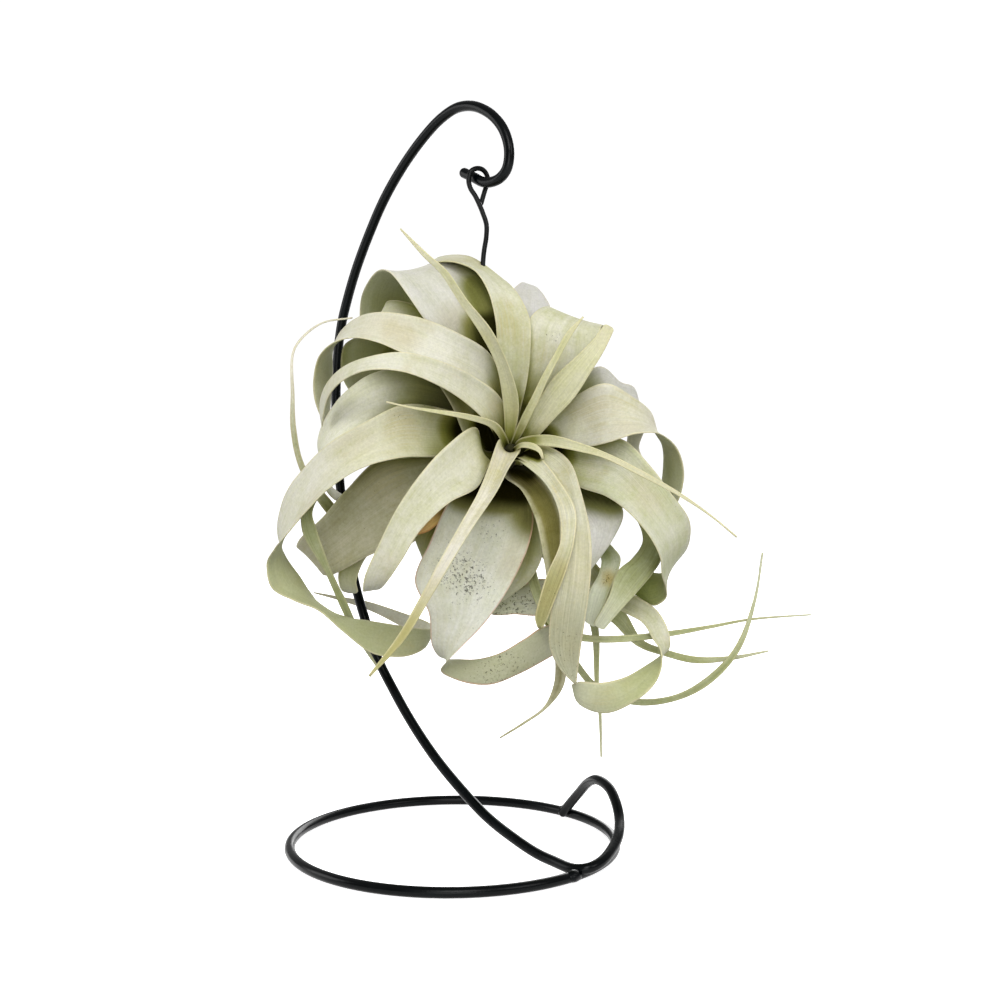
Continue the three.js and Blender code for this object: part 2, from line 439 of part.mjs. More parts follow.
// One leaf as a closed blade. `swell` grows it all round, to make the tool that cuts others.
function leafGeometry(stations, swell, baseCup = BASE_CUP) {
  const left = stations.map(([a, u, , , forward, lean]) => seen(a, u, forward - lean / 2));
  const right = stations.map(([, , a, u, forward, lean]) => seen(a, u, forward + lean / 2));
  const leftCurve = new THREE.CatmullRomCurve3(left);
  const rightCurve = new THREE.CatmullRomCurve3(right);
  const steps = Math.round((stations.length - 1) * STEPS_PER_STATION);
  const positions = [];
  for (let i = 0; i <= steps; i += 1) {
    const t = i / steps;
    const a = leftCurve.getPoint(t);
    const b = rightCurve.getPoint(t);
    const across = b.clone().sub(a);
    const width = across.length();
    const along = leftCurve.getTangent(t).add(rightCurve.getTangent(t)).normalize();
    const past = i === 0 ? -swell : i === steps ? swell : 0;
    a.addScaledVector(along, past);
    b.addScaledVector(along, past);
    const normal = across.clone().cross(along).normalize();
    const outward = across.clone().normalize();
    a.addScaledVector(outward, -swell);
    b.addScaledVector(outward, swell);
    const cup = width * THREE.MathUtils.lerp(baseCup, TIP_CUP, Math.min(1, t * 1.6));
    const middle = a.clone().lerp(b, 0.5).addScaledVector(normal, -cup);
    const midHalf = Math.min(MID_THICKNESS, THINNEST + width / 12) / 2 + swell;
    const edgeHalf = Math.min(EDGE_THICKNESS, THINNEST) / 2 + swell;
    for (const [point, half] of [[a, edgeHalf], [middle, midHalf], [b, edgeHalf]]) {
      positions.push(point.clone().addScaledVector(normal, half));
    }
    for (const [point, half] of [[b, edgeHalf], [middle, midHalf], [a, edgeHalf]]) {
      positions.push(point.clone().addScaledVector(normal, -half));
    }
  }
  const ring = 6;
  const index = [];
  for (let i = 0; i < steps; i += 1) {
    for (let k = 0; k < ring; k += 1) {
      const p = i * ring + k;
      const q = i * ring + ((k + 1) % ring);
      if (k < 3) index.push(p, q, q + ring, p, q + ring, p + ring);
      else index.push(p, q, p + ring, q, q + ring, p + ring);
    }
  }
  const last = steps * ring;
  for (const [a, b, c, d] of [[0, 1, 4, 5], [1, 2, 3, 4]]) {
    index.push(a, c, b, a, d, c);
    index.push(last + a, last + b, last + c, last + a, last + c, last + d);
  }
  const geometry = new THREE.BufferGeometry().setFromPoints(positions);
  geometry.setIndex(index);
  return geometry;
}

const MATERIALS = {
  wire: new THREE.MeshStandardMaterial({ color: 0x101414, roughness: 0.45, metalness: 0.3 }),
  hanger: new THREE.MeshStandardMaterial({ color: 0x26292a, roughness: 0.4, metalness: 0.6 }),
  stem: new THREE.MeshStandardMaterial({ color: 0x6d5a3c, roughness: 0.9, metalness: 0 }),
  leaf: new THREE.MeshStandardMaterial({ color: 0xc3c7a6, roughness: 0.75, metalness: 0 }),
  dried: new THREE.MeshStandardMaterial({ color: 0xa97c3e, roughness: 0.85, metalness: 0 }),
};

const plant = new THREE.Group();

function add(name, geometry, material) {
  const mesh = new THREE.Mesh(geometry, MATERIALS[material]);
  mesh.name = name;
  plant.add(mesh);
}

add("base_ring", toGeometry(toSolid(ringGeometry(STAND_WIRE))), "wire");

const stemWirePath = [...ARCH.map(vector), ...CURVE.map(onCurvePlane)];
const stemWire = toSolid(bentWire(stemWirePath, STAND_WIRE, WIRE_SIDES, 110));
const ringTool = toSolid(ringGeometry(STAND_WIRE + 2 * WELD_GAP));
add("stand_wire", toGeometry(largestBody(stemWire.subtract(ringTool))), "wire");

add("hanger_wire", bentWire(hangerPoints(0), HANGER_WIRE, HANGER_SIDES, 90), "hanger");
add("plant_stem", plantStemGeometry(0), "stem");

// Each leaf is cut back where the stem, the hanger or a leaf nearer to the crown is in its way.
const tools = [
  toSolid(plantStemGeometry(LEAF_GAP)),
  toSolid(bentWire(hangerPoints(1), HANGER_WIRE + 2 * LEAF_GAP, HANGER_SIDES, 90)),
];
for (const [name, stations] of Object.entries(LEAVES)) {
  let blade = toSolid(leafGeometry(stations, 0, DEEP_CUPS[name]));
  for (const tool of tools) {
    if (blade.intersect(tool).volume() > 0) blade = blade.subtract(tool);
  }
  add("leaf_" + name, toGeometry(largestBody(toSolid(toGeometry(blade)))), name === "dried_tip" ? "dried" : "leaf");
  tools.push(toSolid(leafGeometry(stations, LEAF_GAP, DEEP_CUPS[name])));
}

// The origin is the middle of the object's box, on the table.
const box = new THREE.Box3().setFromObject(plant);
plant.position.set(-(box.min.x + box.max.x) / 2, -(box.min.y + box.max.y) / 2, -box.min.z);

export default plant;
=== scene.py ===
"""An air plant with broad curling leaves, hung by a thin wire from a bent-wire stand.

Blender works in metres, +Z up, with the viewer on the -Y side. The tables are in millimetres: the
wires from the middle of the stand's ring, the leaves across and up from the crown, as the viewer
sees them.
"""
import math

import bpy
import numpy as np
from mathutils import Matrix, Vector
from mathutils.bvhtree import BVHTree

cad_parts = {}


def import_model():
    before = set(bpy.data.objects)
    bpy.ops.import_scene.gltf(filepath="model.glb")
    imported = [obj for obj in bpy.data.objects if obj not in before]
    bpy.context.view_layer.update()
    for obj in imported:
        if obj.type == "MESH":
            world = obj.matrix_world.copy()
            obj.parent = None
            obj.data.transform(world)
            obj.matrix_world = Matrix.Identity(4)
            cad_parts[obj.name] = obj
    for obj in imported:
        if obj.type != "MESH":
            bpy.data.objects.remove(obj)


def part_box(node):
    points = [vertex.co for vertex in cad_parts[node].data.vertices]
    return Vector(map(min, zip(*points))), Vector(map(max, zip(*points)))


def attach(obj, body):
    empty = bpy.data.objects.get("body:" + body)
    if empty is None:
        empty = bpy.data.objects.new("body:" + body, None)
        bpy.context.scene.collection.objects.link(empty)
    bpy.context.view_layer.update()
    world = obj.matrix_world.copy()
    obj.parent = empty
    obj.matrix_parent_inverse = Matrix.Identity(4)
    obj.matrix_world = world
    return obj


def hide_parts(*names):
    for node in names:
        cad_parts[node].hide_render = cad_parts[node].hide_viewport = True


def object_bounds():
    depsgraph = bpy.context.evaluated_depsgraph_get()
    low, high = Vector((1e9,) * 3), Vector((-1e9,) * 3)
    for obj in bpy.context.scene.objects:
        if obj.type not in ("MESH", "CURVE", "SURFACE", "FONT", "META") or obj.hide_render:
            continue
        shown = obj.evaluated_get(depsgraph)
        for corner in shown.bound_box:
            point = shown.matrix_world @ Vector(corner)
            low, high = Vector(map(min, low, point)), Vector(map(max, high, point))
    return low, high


MM = 0.001

# ---- Stand and hanger: wire diameters and routes. The curve lies in one upright plane.
STAND_WIRE = 4.2
STAND_SIDES = 24
DOME_RINGS = 12
RING_RADIUS = 67
RING_POINTS = 144
PLANE = (0.743, -0.669)
ARCH = [
    (47.5, 43.5, 2.6), (49.5, 41, 6), (54, 33, 14), (57.5, 24, 20.7), (61, 14, 24.2), (65, 5, 23),
    (67.2, -4, 18.8), (67.8, -12, 14.5), (66.3, -24, 11), (62.7, -34, 8), (58, -42, 5.8),
    (53, -45.3, 4.5), (47.8, -44, 3.8),
]
CURVE = [
    (54, 4.5), (45, 6), (33, 9.8), (19, 15.6), (4.5, 24.5), (-10.5, 35.5), (-24.5, 48.5), (-36, 61.5),
    (-46, 74.5), (-53, 89), (-59, 103), (-63.5, 118), (-69, 146), (-71.7, 170), (-71.7, 191), (-70.5, 206),
    (-68, 219), (-64, 230), (-58, 243), (-49.5, 257.5), (-40.5, 270.5), (-29.5, 282.5), (-17, 293),
    (-6, 299.7), (3.5, 302.5), (13, 301.3), (22.5, 296), (28.5, 289), (31, 281), (29.6, 274.2),
    (25, 270.8), (18, 270.6), (11.5, 273.6), (4, 277),
]
CURVE_SAMPLES = 8
HOOK_CUT = 3  # samples left off the hook's end, where its round tip takes their place

# Weld beads: centre, half sizes and turn about the vertical. Lumps: height, waves round and down.
WELDS = [
    ("weld_front", (47.4, -48.3, 2.5), (2.8, 3.8, 2.4), -0.78),
    ("weld_back", (48.3, 44.2, 3.1), (2.5, 3.0, 2.6), 0.74),
]
WELD_RINGS = 14
WELD_SIDES = 28
WELD_LUMPS = [(0.05, 3, 2), (0.04, 5, -4)]

HANGER_WIRE = 2
HANGER_SIDES = 16
HANGER_SAMPLES = 6
HANGER_TURNS = 2
HANGER_PITCH = 2.8
HANGER_GAP = 0.6
POINTS_PER_TURN = 10
HANGER_ROUTE = [
    (11.8, -7.4, 263), (13.3, -7.7, 268), (14.6, -7.8, 272.2), (13.2, -9, 275.6), (10.6, -10.3, 276.5),
    (7.8, -11.7, 275), (6.9, -11.4, 271.5), (7.6, -11.1, 268.5), (9.5, -10.8, 265.5),
    (11.2, -10.7, 262), (12.8, -10.7, 258), (14, -10.8, 254), (13.9, -10.9, 249), (13.1, -11, 244),
    (12.6, -10.8, 239), (12.4, -8, 225), (12, -2, 205), (10, 5, 185),
]

# ---- Plant: the crown, the viewer's eye, and the directions across and up as the viewer has them.
CROWN = np.array([24.5, -15, 166])
EYE = np.array([19.4, -570.4, 165])
ACROSS = np.array([1, 0, 0])
UP = np.array([0, 0.0377, 0.9993])
EYE_DISTANCE = np.linalg.norm(EYE - CROWN)

# Stem: radius and distance behind the crown. Flutes: depth, how many, and their twist per mm.
STEM_AXIS = np.array([-0.256, 0.854, -0.453])
STEM_AXIS /= np.linalg.norm(STEM_AXIS)
STEM_PROFILE = [
    (0, 1), (1.6, 1.6), (2.8, 5), (4.4, 11), (5.8, 19), (6.4, 27), (6.4, 39), (5.2, 44), (3, 47), (0, 48),
]
STEM_SAMPLES = 6
STEM_SIDES = 48
STEM_FLUTES = (0.05, 5, 0.35)
STEM_WRAP_AT = 35

# Leaf blade: its thickness grows by 1 mm for each THICKENING mm of width, and its hollow, as a
# share of the width, fades from the base to the tip.
MID_THICKNESS = 1.2
THINNEST = 0.5
THICKENING = 12
RIM_BULGE = 0.7
BASE_CUP = 0.2
TIP_CUP = 0.05
CUP_FADE = 1.6
DEEP_CUPS = {"spear_down": 0.5}
EDGE_SAMPLES = 60
ROW_SPACING = 1.5
LEAST_ROWS = 12
COLUMNS = 13
SECTION = 2 * COLUMNS + 2
TIP_CORNER = 0.3
LEAST_CORNER = 0.5
CORNER_ROWS = 9
FACING_PASSES = 2

# Ripple: wave length, and how high it is in the middle and how much more at the edge.
RIPPLE_SIZE = 22
RIPPLE_MIDDLE = 0.6
RIPPLE_EDGE = 2.2
RIPPLE_STARTS = (0.08, 0.35)
RIPPLE_SEEDS = 50
# The skin's pattern is moved by one of so many steps of so many mm from leaf to leaf.
PATTERN_SHIFTS = 97
PATTERN_STEP = 10

# What the shelter finds is painted into the leaves' colour as shade: greener, then near black.
# Shelter: how far a leaf shades another and how far off the leaf a ray starts, in metres; rays from
# each point, the least cosine that counts, the height of the first ray, the step from one such
# point to the next, and how often the result is smoothed.
SHELTER_REACH = 0.06
SHELTER_START = 0.0008
SHELTER_RAYS = 56
SHELTER_GRAZE = 0.1
SHELTER_TOP = 0.97
SHELTER_STEP = 3
SHELTER_PASSES = 2

# Skin, tone from -1 darker to 1 lighter, ripple height, then the stations from base to tip, with
# a comma between them: left across, left up, right across, right up, forward, and the lean (how
# much further forward the right edge is than the left) where it isn't 0.
LEAVES = {
    "spear_down": ("slender", 0.1, 0.15, """
        1 -2 -4 -3 -5, 3 -2 -5.5 2 8, -1.5 -9 -9.5 -8.5 19, -7 -19.5 -14 -19.5 31,
        -15 -31.5 -20.5 -31 40, -24 -46 -29 -46 46, -33.5 -62 -37 -61 49, -43.5 -78 -46 -76.5 49,
        -57 -92.5 -57.5 -92 47"""),
    "small_curl": ("young", 0.2, 0.0, """
        -1 -2 0 -4 -4, 4 1 3.5 -1 11, 8.5 0.5 7.5 -1.5 16, 11.5 -2 10.5 -3 18.5,
        12.3 -5.5 11.7 -5.5 18.5"""),
    "spear_thin_up": ("young", -0.3, 0.1, """
        -2 -2 0.5 -1.5 -5, 3.5 11 6.8 10.5 12 1, 7.6 19 10.6 18.5 18 1, 11.5 27 14 26.2 22 1,
        16.5 36 18.7 35.2 25 0.5, 21.7 45 23.6 44.2 27 0.5, 28 51.3 28.3 51.1 28"""),
    "spear_left": ("young", 0.3, 0.1, """
        -3 -1 -0.5 -2 -5, -3.7 16 2.3 17 9 3, -6.6 32 -2 32.5 18 2.5, -13.2 45 -8.6 46 24 2,
        -21.3 57 -18.3 58 28 1.5, -29 68.8 -26.5 69.8 30 1, -35.3 74.9 -33.6 75.9 31 0.5,
        -45 86.2 -44.8 86.5 32"""),
    "thin_left": ("young", 0.2, 0.0, """
        -3 -3 -0.5 -2 -6, -6 4 -3.3 4.8 4, -9.5 7.5 -6.8 9 10, -19 10.5 -18 12.3 19,
        -29 12.5 -29 13.9 27, -40 14.5 -40 15.2 33, -50.5 17 -50.5 17.4 36"""),
    "spear_right": ("young", 0.4, 0.1, """
        0 -1.5 1 -4 -6, 3 2.5 3.5 -0.5 5, 15 3.9 15.5 -0.5 18, 27 0.7 26.5 -2.5 27, 37 -3.1 36 -5 33,
        51 -10 50.5 -12 38, 67.5 -19.6 67.2 -20.8 41, 79 -27.8 79 -28.5 41, 89.5 -36.5 89.3 -36.9 40"""),
    "spear_broad_up": ("young", 0.2, 0.2, """
        -1 -3.5 2 -5 -8, 4.5 7 11 4.5 5, 10 17 17 11 11 1, 16.5 27 24.5 19 16 2, 25 35 31 29 19 2,
        32 42 36.5 38 20 1, 37 48.5 40.5 46.5 20"""),
    "front_short": ("ageing", 0.0, 0.1, """
        0 -5 -2 -6 -8, 10 -4.5 3.5 -7 14, 17.5 -13 13.5 -16 27, 25 -26 18.5 -27 36.5,
        24.5 -38 19 -39 41, 21.3 -50 14 -51 42, 17 -61 11 -60.5 41, 13.4 -70 9 -69 39,
        11.5 -73.5 10 -73 38"""),
    "front_hanging": ("greying", 0.0, 0.3, """
        2 -4 -1 -6 -10, 13 -0.5 3 -5.5 10 2, 22.5 -6.5 13 -13.5 22 2, 27.5 -20 18 -24 32,
        31 -36 19 -38 37, 31 -52 17.5 -54 38, 29 -68 15 -69 36, 27 -81 15 -81 33, 26 -89 19 -89.5 31,
        25.2 -95.5 24.8 -95.5 30"""),
    "front_left": ("sage", 0.1, 0.3, """
        -4 -4 -6 -2.5 -10, -7 -8.5 -11.5 -2 -2 1, -9 -7 -15 7 8 2, -14.5 -17 -26.5 -0.5 20 3,
        -25.5 -23 -37 -12 29 3, -37 -34 -46.5 -26 34 2, -44.5 -46 -54 -41 34, -49.5 -53.5 -59 -52.5 31,
        -52.5 -57 -59.7 -57.5 27, -55 -57.5 -59.5 -58.4 22, -57 -55.5 -59 -56.2 18"""),
    "top": ("sage", -0.2, 0.3, """
        -5 -4 0 -3 -10, -3.5 13 3 14 0, -5 26 5.5 25 7 -1, -6 40 7 39 12 -2, -7 51 6.5 51 13 -4,
        -10 62 1.5 61 11 -7, -15.5 70 -5 67 6 -10, -23 73 -17 75 0 -12, -30 73 -27.5 75.5 -9 -10,
        -33 71.6 -31.5 73.6 -16 -8, -34.5 67 -33.5 68.5 -22, -35 62 -34.6 62 -26"""),
    "left_narrow": ("sage", 0.3, 0.2, """
        -5 -5 -3 -2.5 -11, -9 7 -4 17 5 -2, -19.5 17.5 -15 27 18 -2, -32 25 -29 33.5 28 -3,
        -45 29.5 -44 37 33 -4, -57.5 30 -58 35 32 -5, -67.5 26 -68.5 30.5 24 -6,
        -73.5 19.5 -75 23 13 -7, -75.5 12 -77 15 4 -6, -76 7.5 -76.3 7.9 0"""),
    "upper_left": ("sage", 0.5, 0.5, """
        -6 -6 -3 -3 -13, -7 15 -4 24 2 -2, -13 23.5 -9 36 9 -4, -26 29.5 -22.5 45 20 -5,
        -40 35 -38 51 24 -6, -53.5 41 -53 53 21 -9, -63.5 43 -62.5 50.5 14 -14,
        -71.5 41 -69 44.5 6 -17, -77.5 35 -72 37 -2 -16, -79.5 26 -72 28 -8 -14,
        -79 18 -72.5 19 -11 -11, -76.5 11 -73 12.5 -13 -7, -73.5 6 -73.1 6 -14"""),
    "top_right": ("sage", -0.1, 0.6, """
        -1 -7 3 -8.5 -13, 1.5 15 14.5 10 -5, 3 27 25 21 3, 4 38 33 33 7, 6.9 50.4 34.5 44.5 6 -2,
        13 55.3 35.5 47.7 -2 -2, 19 52 37 45.5 -13, 24 44 36 38 -21, 30.5 33 31 33 -24"""),
    "right_broad": ("sage", 0.5, 0.5, """
        1 -7 2 -9 -14, 13 9 16 -1 -2, 24.5 19 27 -1 6 2, 37 24.5 37.5 1 12 6, 48 19 48.5 4.5 12 10,
        55 13 56 5 7 14, 57.5 5.5 60.5 3.5 0 16, 60 -2 65.5 -1.5 -7 15, 60 -10 68 -9.5 -12 13,
        59.5 -17 67.5 -17.5 -16 10, 59.5 -24 64.5 -25 -20 6, 60 -30 60.4 -30 -23"""),
    "inner_olive": ("hollow", 0.0, 0.2, """
        0 -8 -3 -9 -13, 9 -10 -3 -13 3, 16.5 -19 3.5 -18 12, 20.5 -29 9 -29 17, 21.5 -40 11.5 -40 18,
        21.5 -52 13.5 -52 16, 21 -68 15.5 -68 12, 21.5 -84 17 -84 8, 20 -96.5 16.5 -95.5 4,
        13.5 -105 12.5 -104.5 2, 5 -111 4.5 -110.5 1, -5 -117 -5.2 -116.7 0"""),
    "upper_left_back": ("lilac", 0.2, 0.6, """
        -6 -8 -1 -6 -15, -16 24 -5 27 3 -2, -25.5 39 -5 43 8 -4, -35 50 -5 56 13 -8,
        -41.5 59.5 -9 65.5 11 -16, -49 69 -18 73 6 -18, -55 68.6 -32.5 72.4 -7 -18,
        -60 60.5 -35 62 -20 -14, -61 52 -34 52 -28 -10, -60 40 -39 41 -32 -6, -57 31 -48 32 -34,
        -53 27 -52.6 27 -35"""),
    "folded_left": ("sage", -0.1, 0.5, """
        -7 -7 -4 -5 -15, -19 4 -7 13 -3 -2, -24 15 -13 25 -1 -2, -30 24.5 -17.5 38 3 -3,
        -39 34 -29 48 4 -4, -49.5 41 -41 56.5 2 -8, -59.5 43 -50.5 57 -2 -10, -67 40 -48 49.5 -9 -8,
        -68.5 33 -43 40 -15 -8, -67.5 26 -44 31 -20 -5, -63.5 20 -52 24 -23 -2, -58 17 -57.6 17 -25"""),
    "left_broad": ("frosted_lit", -0.5, 0.6, """
        -8 -9 -5 -6 -18, -13 5 -9 16 -13 -2, -28 8 -25.5 26 -4 -4, -45 8 -41 30.5 5 -6,
        -60 3 -56 28.5 10 -8, -71 -3 -69.5 18 6 -10, -76 -10 -77.5 3 -6 -14, -74.5 -18 -76 -8 -18 -12,
        -70.5 -22 -73 -16 -26 -8, -65 -22 -64.6 -22 -32"""),
    "left_large": ("sage", 0.4, 0.6, """
        -6 -11 -3 -7 -18, -16 1 -12 10 -9 -2, -28 -4 -26 14 3 -3, -45 -5 -44 16 18 -4,
        -60 -9 -59 9 23 -6, -73 -17 -72.5 1 20 -9, -83 -27 -84.3 -10.5 13 -13,
        -89 -34.5 -91.5 -21 6 -16, -94.5 -41 -94 -35 -1 -18, -98 -47.5 -91 -44 -6 -15,
        -96 -57 -85 -52.5 -9 -12, -87.5 -62 -80.5 -59.5 -11 -13, -77.5 -66 -76 -64.5 -12 -14,
        -67.5 -74.5 -66.5 -68.5 -13 -11, -56 -83 -55 -70.5 -15 -8, -44 -84.5 -43 -72.5 -19 -6,
        -35 -81 -34 -73.5 -30 -5, -35 -76.5 -33.5 -71 -46 -3, -43 -73 -44 -67 -57 -2,
        -57 -66 -58 -62.5 -62 -1, -69 -62 -69.5 -60.5 -63, -79.5 -59 -79.7 -58.7 -62"""),
    "dried_tip": ("dried", 0.0, 0.2, """
        -6 -9 -4 -10.5 -17, -14 -19 -16 -15.5 -11, -24 -27 -26.5 -22 -8, -30 -31.5 -33 -26.5 -7,
        -34 -34.5 -37 -30.5 -6, -39.5 -36 -39.8 -35.7 -5"""),
    "bottom_broad": ("speckled", 0.2, 0.7, """
        -3 -12 -8 -10.5 -17, 4 -15 -11 -13 -6, 8 -27 -24 -21 0, 6.5 -39 -33 -39 5,
        -0.5 -55 -39 -54 8 -2, -10.5 -70 -33.5 -67 8 -6, -20.5 -80.5 -32 -80 5 -10,
        -26.5 -86.5 -28 -85 0 -14, -28.5 -90.5 -22 -85.5 -5 -11, -20 -94.5 -14 -85.5 -8 -6,
        -9 -95.5 -5 -83 -11 -3, 3 -91 4.5 -77.5 -14, 15 -84.5 12.5 -72.5 -19, 25 -78 23 -71 -25,
        29 -68 28.6 -67.8 -30"""),
    "right_lower": ("shade_tipped", -0.1, 0.5, """
        0 -9.5 2 -12 -18, 17.5 0 15 -10 -6, 31 3 27.5 -17 3 2, 44 2 37.5 -20.5 9 3,
        54.5 -8 47 -27.5 12 5, 63 -19 55 -37 11 8, 70.5 -30.5 59 -45 6 12, 69.5 -41 59.5 -51.5 0 14,
        64.5 -47 61 -57 -7 15, 60 -51 61 -61 -12 13, 54.5 -51 57 -64 -16 10, 51 -53 53.5 -63 -20 6,
        48 -59 48.3 -59.4 -24"""),
    "lower_left": ("dusky_shaded", 0.0, 0.6, """
        -6 -13 -9 -10 -19, -17 -16 -22 -3 -8, -32 -24 -39 -4 -1, -44 -38 -53.5 -6 -1,
        -57.5 -44 -66.5 -18 -6, -66.5 -49 -76 -29 -13 -3, -73 -52 -85 -37.5 -24 -6,
        -76 -51 -85.5 -41 -36 -4, -73 -46 -77.5 -38 -44, -69 -40 -69.3 -39.7 -48"""),
    "olive_left": ("olive", -0.2, 0.2, """
        -8 -12 -6 -10 -19, -24 -6 -23 0 -4, -41 -5 -41 0 4, -61 -9 -61 -4 9, -73.5 -16 -74 -11 8,
        -80 -26.5 -83.2 -22 5, -78.2 -34 -84 -34 2, -72.5 -50 -75 -50.5 -5, -65.5 -64.5 -68.5 -65 -16,
        -61.5 -74 -63.5 -75 -26, -57 -83 -58 -83.4 -27, -53.5 -89 -53.8 -89.3 -25"""),
    "bottom_inner": ("sage", -0.5, 0.4, """
        -5 -13 -8 -12 -20, 7 -19 -7 -19 -13, 10.5 -30 -7 -32 -9, 12 -42 -8 -44 -8, 7.5 -53 -11 -56 -10,
        -1.5 -60.5 -15 -64 -13, -11 -67 -11.4 -67 -16"""),
    "left_curled_tip": ("sage", -0.8, 0.3, """
        -8 -14 -11 -11 -22, -25 -24 -29 -19 -13, -41 -38 -45.5 -31 -11, -57 -43 -63 -38 -15,
        -62.5 -54 -69.5 -51 -20, -62 -58.5 -68.5 -57.5 -25, -65 -59 -65.4 -59 -32"""),
    "lower_left_inner": ("sage", -0.5, 0.3, """
        -8 -13 -5 -14 -22, -14 -22 -19 -17 -17, -26 -32 -32 -26 -15, -32 -41 -39 -35 -15,
        -30.5 -47 -36.5 -44 -17, -28 -52 -33 -51 -20, -27 -58 -27.4 -58 -24"""),
    "top_back": ("pale", 0.2, 0.5, """
        -5 -9 -1 -10 -19, -5 16 7 16 -13, -5 34 11 34 -8, -2.5 50 15 49 -8, -0.5 59 14.9 55.3 -12,
        0.6 62.2 13.4 58.2 -17, 2.4 64 11.2 61.2 -22, 4.4 64.7 9 63.2 -28, 7 61 10 60.5 -35,
        7.5 50 9.5 50 -42, 8.3 39 8.7 39 -45"""),
    "right_back": ("pale", 0.0, 0.5, """
        -3 -10 0 -12 -21, 15 16 17.5 3.5 -12, 25.5 26 31 10 -6, 35 31.3 42.5 15 -5,
        42.5 25.3 49.5 13 -10 2, 48.5 22.6 53 11 -20 2, 50 14 52.5 6 -30, 46 4 50.3 -1 -36,
        46 -4 52 -7 -38, 48 -11 48.4 -11 -38"""),
    "right_pale": ("frosted_lit", 0.9, 0.5, """
        -1 -13 -4 -14 -21, 19 -10 11 -19 -12, 35 -16 21.5 -31 -6, 44 -26.5 26 -38 -5,
        39.3 -38.5 27 -46 -8, 34 -46 28.5 -50 -11, 29 -52 28.7 -52.3 -13"""),
    "right_green": ("fresh", 0.7, 0.3, """
        -2 -14 -4.5 -15 -24, 19 -21 13 -25 -18, 34 -35 28.5 -41 -19, 40.5 -41.5 35 -44.5 -17,
        43 -46 34.5 -51 -11, 38 -59.5 30.5 -59 -7, 33 -73 28.5 -70.5 -7"""),
    "right_band": ("olive", -0.1, 0.3, """
        0 -13 2 -15 -25, 23 -12 18.5 -19 -20, 41 -10 36 -18 -19, 54 -19 47 -26 -18,
        62 -32 52 -37.5 -14, 59 -46 47.5 -45.5 -8, 56 -51 42.8 -49.3 -6, 51 -57 40.8 -53 -4,
        42 -67 38.3 -60.5 -1, 36 -74 32 -71.5 -2"""),
    "left_tip": ("paling", 0.1, 0.1, """
        -9 -14 -6 -12 -24, -25 -30 -27 -24 -19, -47 -39 -48 -33 -24, -65 -36 -65 -31 -27,
        -75.5 -25.5 -71.5 -23.5 -25, -85 -9.5 -83 -8.5 -20, -88.5 6 -86.5 6 -16, -88.5 20 -87.3 20 -14,
        -88 37 -87.3 37 -14, -84.2 43.2 -83.6 42.8 -15, -76 49 -76 48.5 -17, -64 51 -64 50.6 -20"""),
    "ring_curl": ("sage", -0.2, 0.3, """
        -4 -15 -1 -17 -26, 13 -22 8 -26 -24, 27 -40 21 -44 -26, 40 -54.5 34.5 -61 -24,
        49.5 -60.5 45 -67 -18, 57.5 -66 52 -71 -11, 62 -74 56 -77.5 -6 3, 62.5 -81 59 -82 -3 8,
        58 -85 59.5 -88 0 10, 51 -89.5 56.5 -95.5 4 8, 43.5 -93.2 47.5 -103 8 4, 35 -95 36.5 -107 10,
        27 -94.5 26 -103 8, 24 -95.5 23.6 -96 4"""),
    "tip_straight": ("olive", 0.0, 0.1, """
        -3 -15.5 -2 -17.5 -27, 6.5 -40 3 -41 -18, 13 -62 9.5 -63.5 -14, 21 -73 19 -76 -12,
        31 -76 31 -78.5 -12, 45 -76 45 -78.5 -12, 63 -74.2 63 -76.2 -14, 79 -71.9 79 -73.1 -14,
        95 -69.2 95 -69.9 -14, 119 -67.5 119 -67.9 -14"""),
    "bottom_back": ("speckled", -0.5, 0.4, """
        -8 -15 -5 -17 -26, -5 -30 -9.5 -32 -21, -8 -48 -17 -52 -21, -5 -58 -9.5 -67 -21,
        3 -56 1 -67.5 -21, 13 -53.5 12 -67.5 -22, 20 -59 20 -59.5 -24"""),
    "tip_vertical": ("olive", 0.1, 0.1, """
        -4 -16 -2 -17 -28, 13 -30 10.5 -31.5 -30, 26.5 -52 23 -53 -32, 33.5 -70 30.5 -70.5 -30,
        34.5 -78 32 -78 -28, 34.3 -95 32.8 -95 -24, 35.3 -107 34.3 -107 -20,
        35.5 -124.5 35.1 -124.5 -16"""),
    "tip_curved": ("olive", 0.0, 0.1, """
        -2 -16 0 -18 -29, 17 -30 13 -33 -34, 31 -58 27 -61 -37, 44 -66 39.5 -70.5 -34,
        51.5 -77.5 49.5 -80 -28, 61 -81.6 60.5 -84.1 -22, 73 -84.5 73 -87 -18, 87 -84.3 87 -85.8 -16,
        102 -82 102 -82.4 -14"""),
    "tip_rising": ("olive", 0.0, 0.1, """
        -5 -16 -3 -18 -31, 3 -38 0 -40 -28, 14.5 -66 11 -68 -33, 26.5 -87 24.5 -88.5 -30,
        35 -96.5 33.5 -98.5 -28, 49 -101.2 49 -103.7 -22, 64 -100 65 -102 -15,
        76.5 -93.4 78.5 -95.4 -10, 88.5 -81 90.5 -82 -8, 96 -62 97 -62.5 -8, 99.5 -43 99.9 -43 -8"""),
    "back_top": ("sage", 0.0, 0.5, """
        -9 -12 -7 -11 -27, -26 12 -17 14 -28, -34 34 -22 38 -32, -36 54 -24 58 -38, -34 66 -24 69 -48,
        -31 68 -23 70 -58, -27 62 -26.6 62 -66"""),
    "back_upper_right": ("pale", 0.0, 0.5, """
        -7 -14 -4 -15 -27, 0 8 10 3 -30, 10 28 24 20 -34, 17 37 27 29 -42, 22 40 31 31 -54,
        27 37 33 29 -64, 31 30 31.4 30 -68"""),
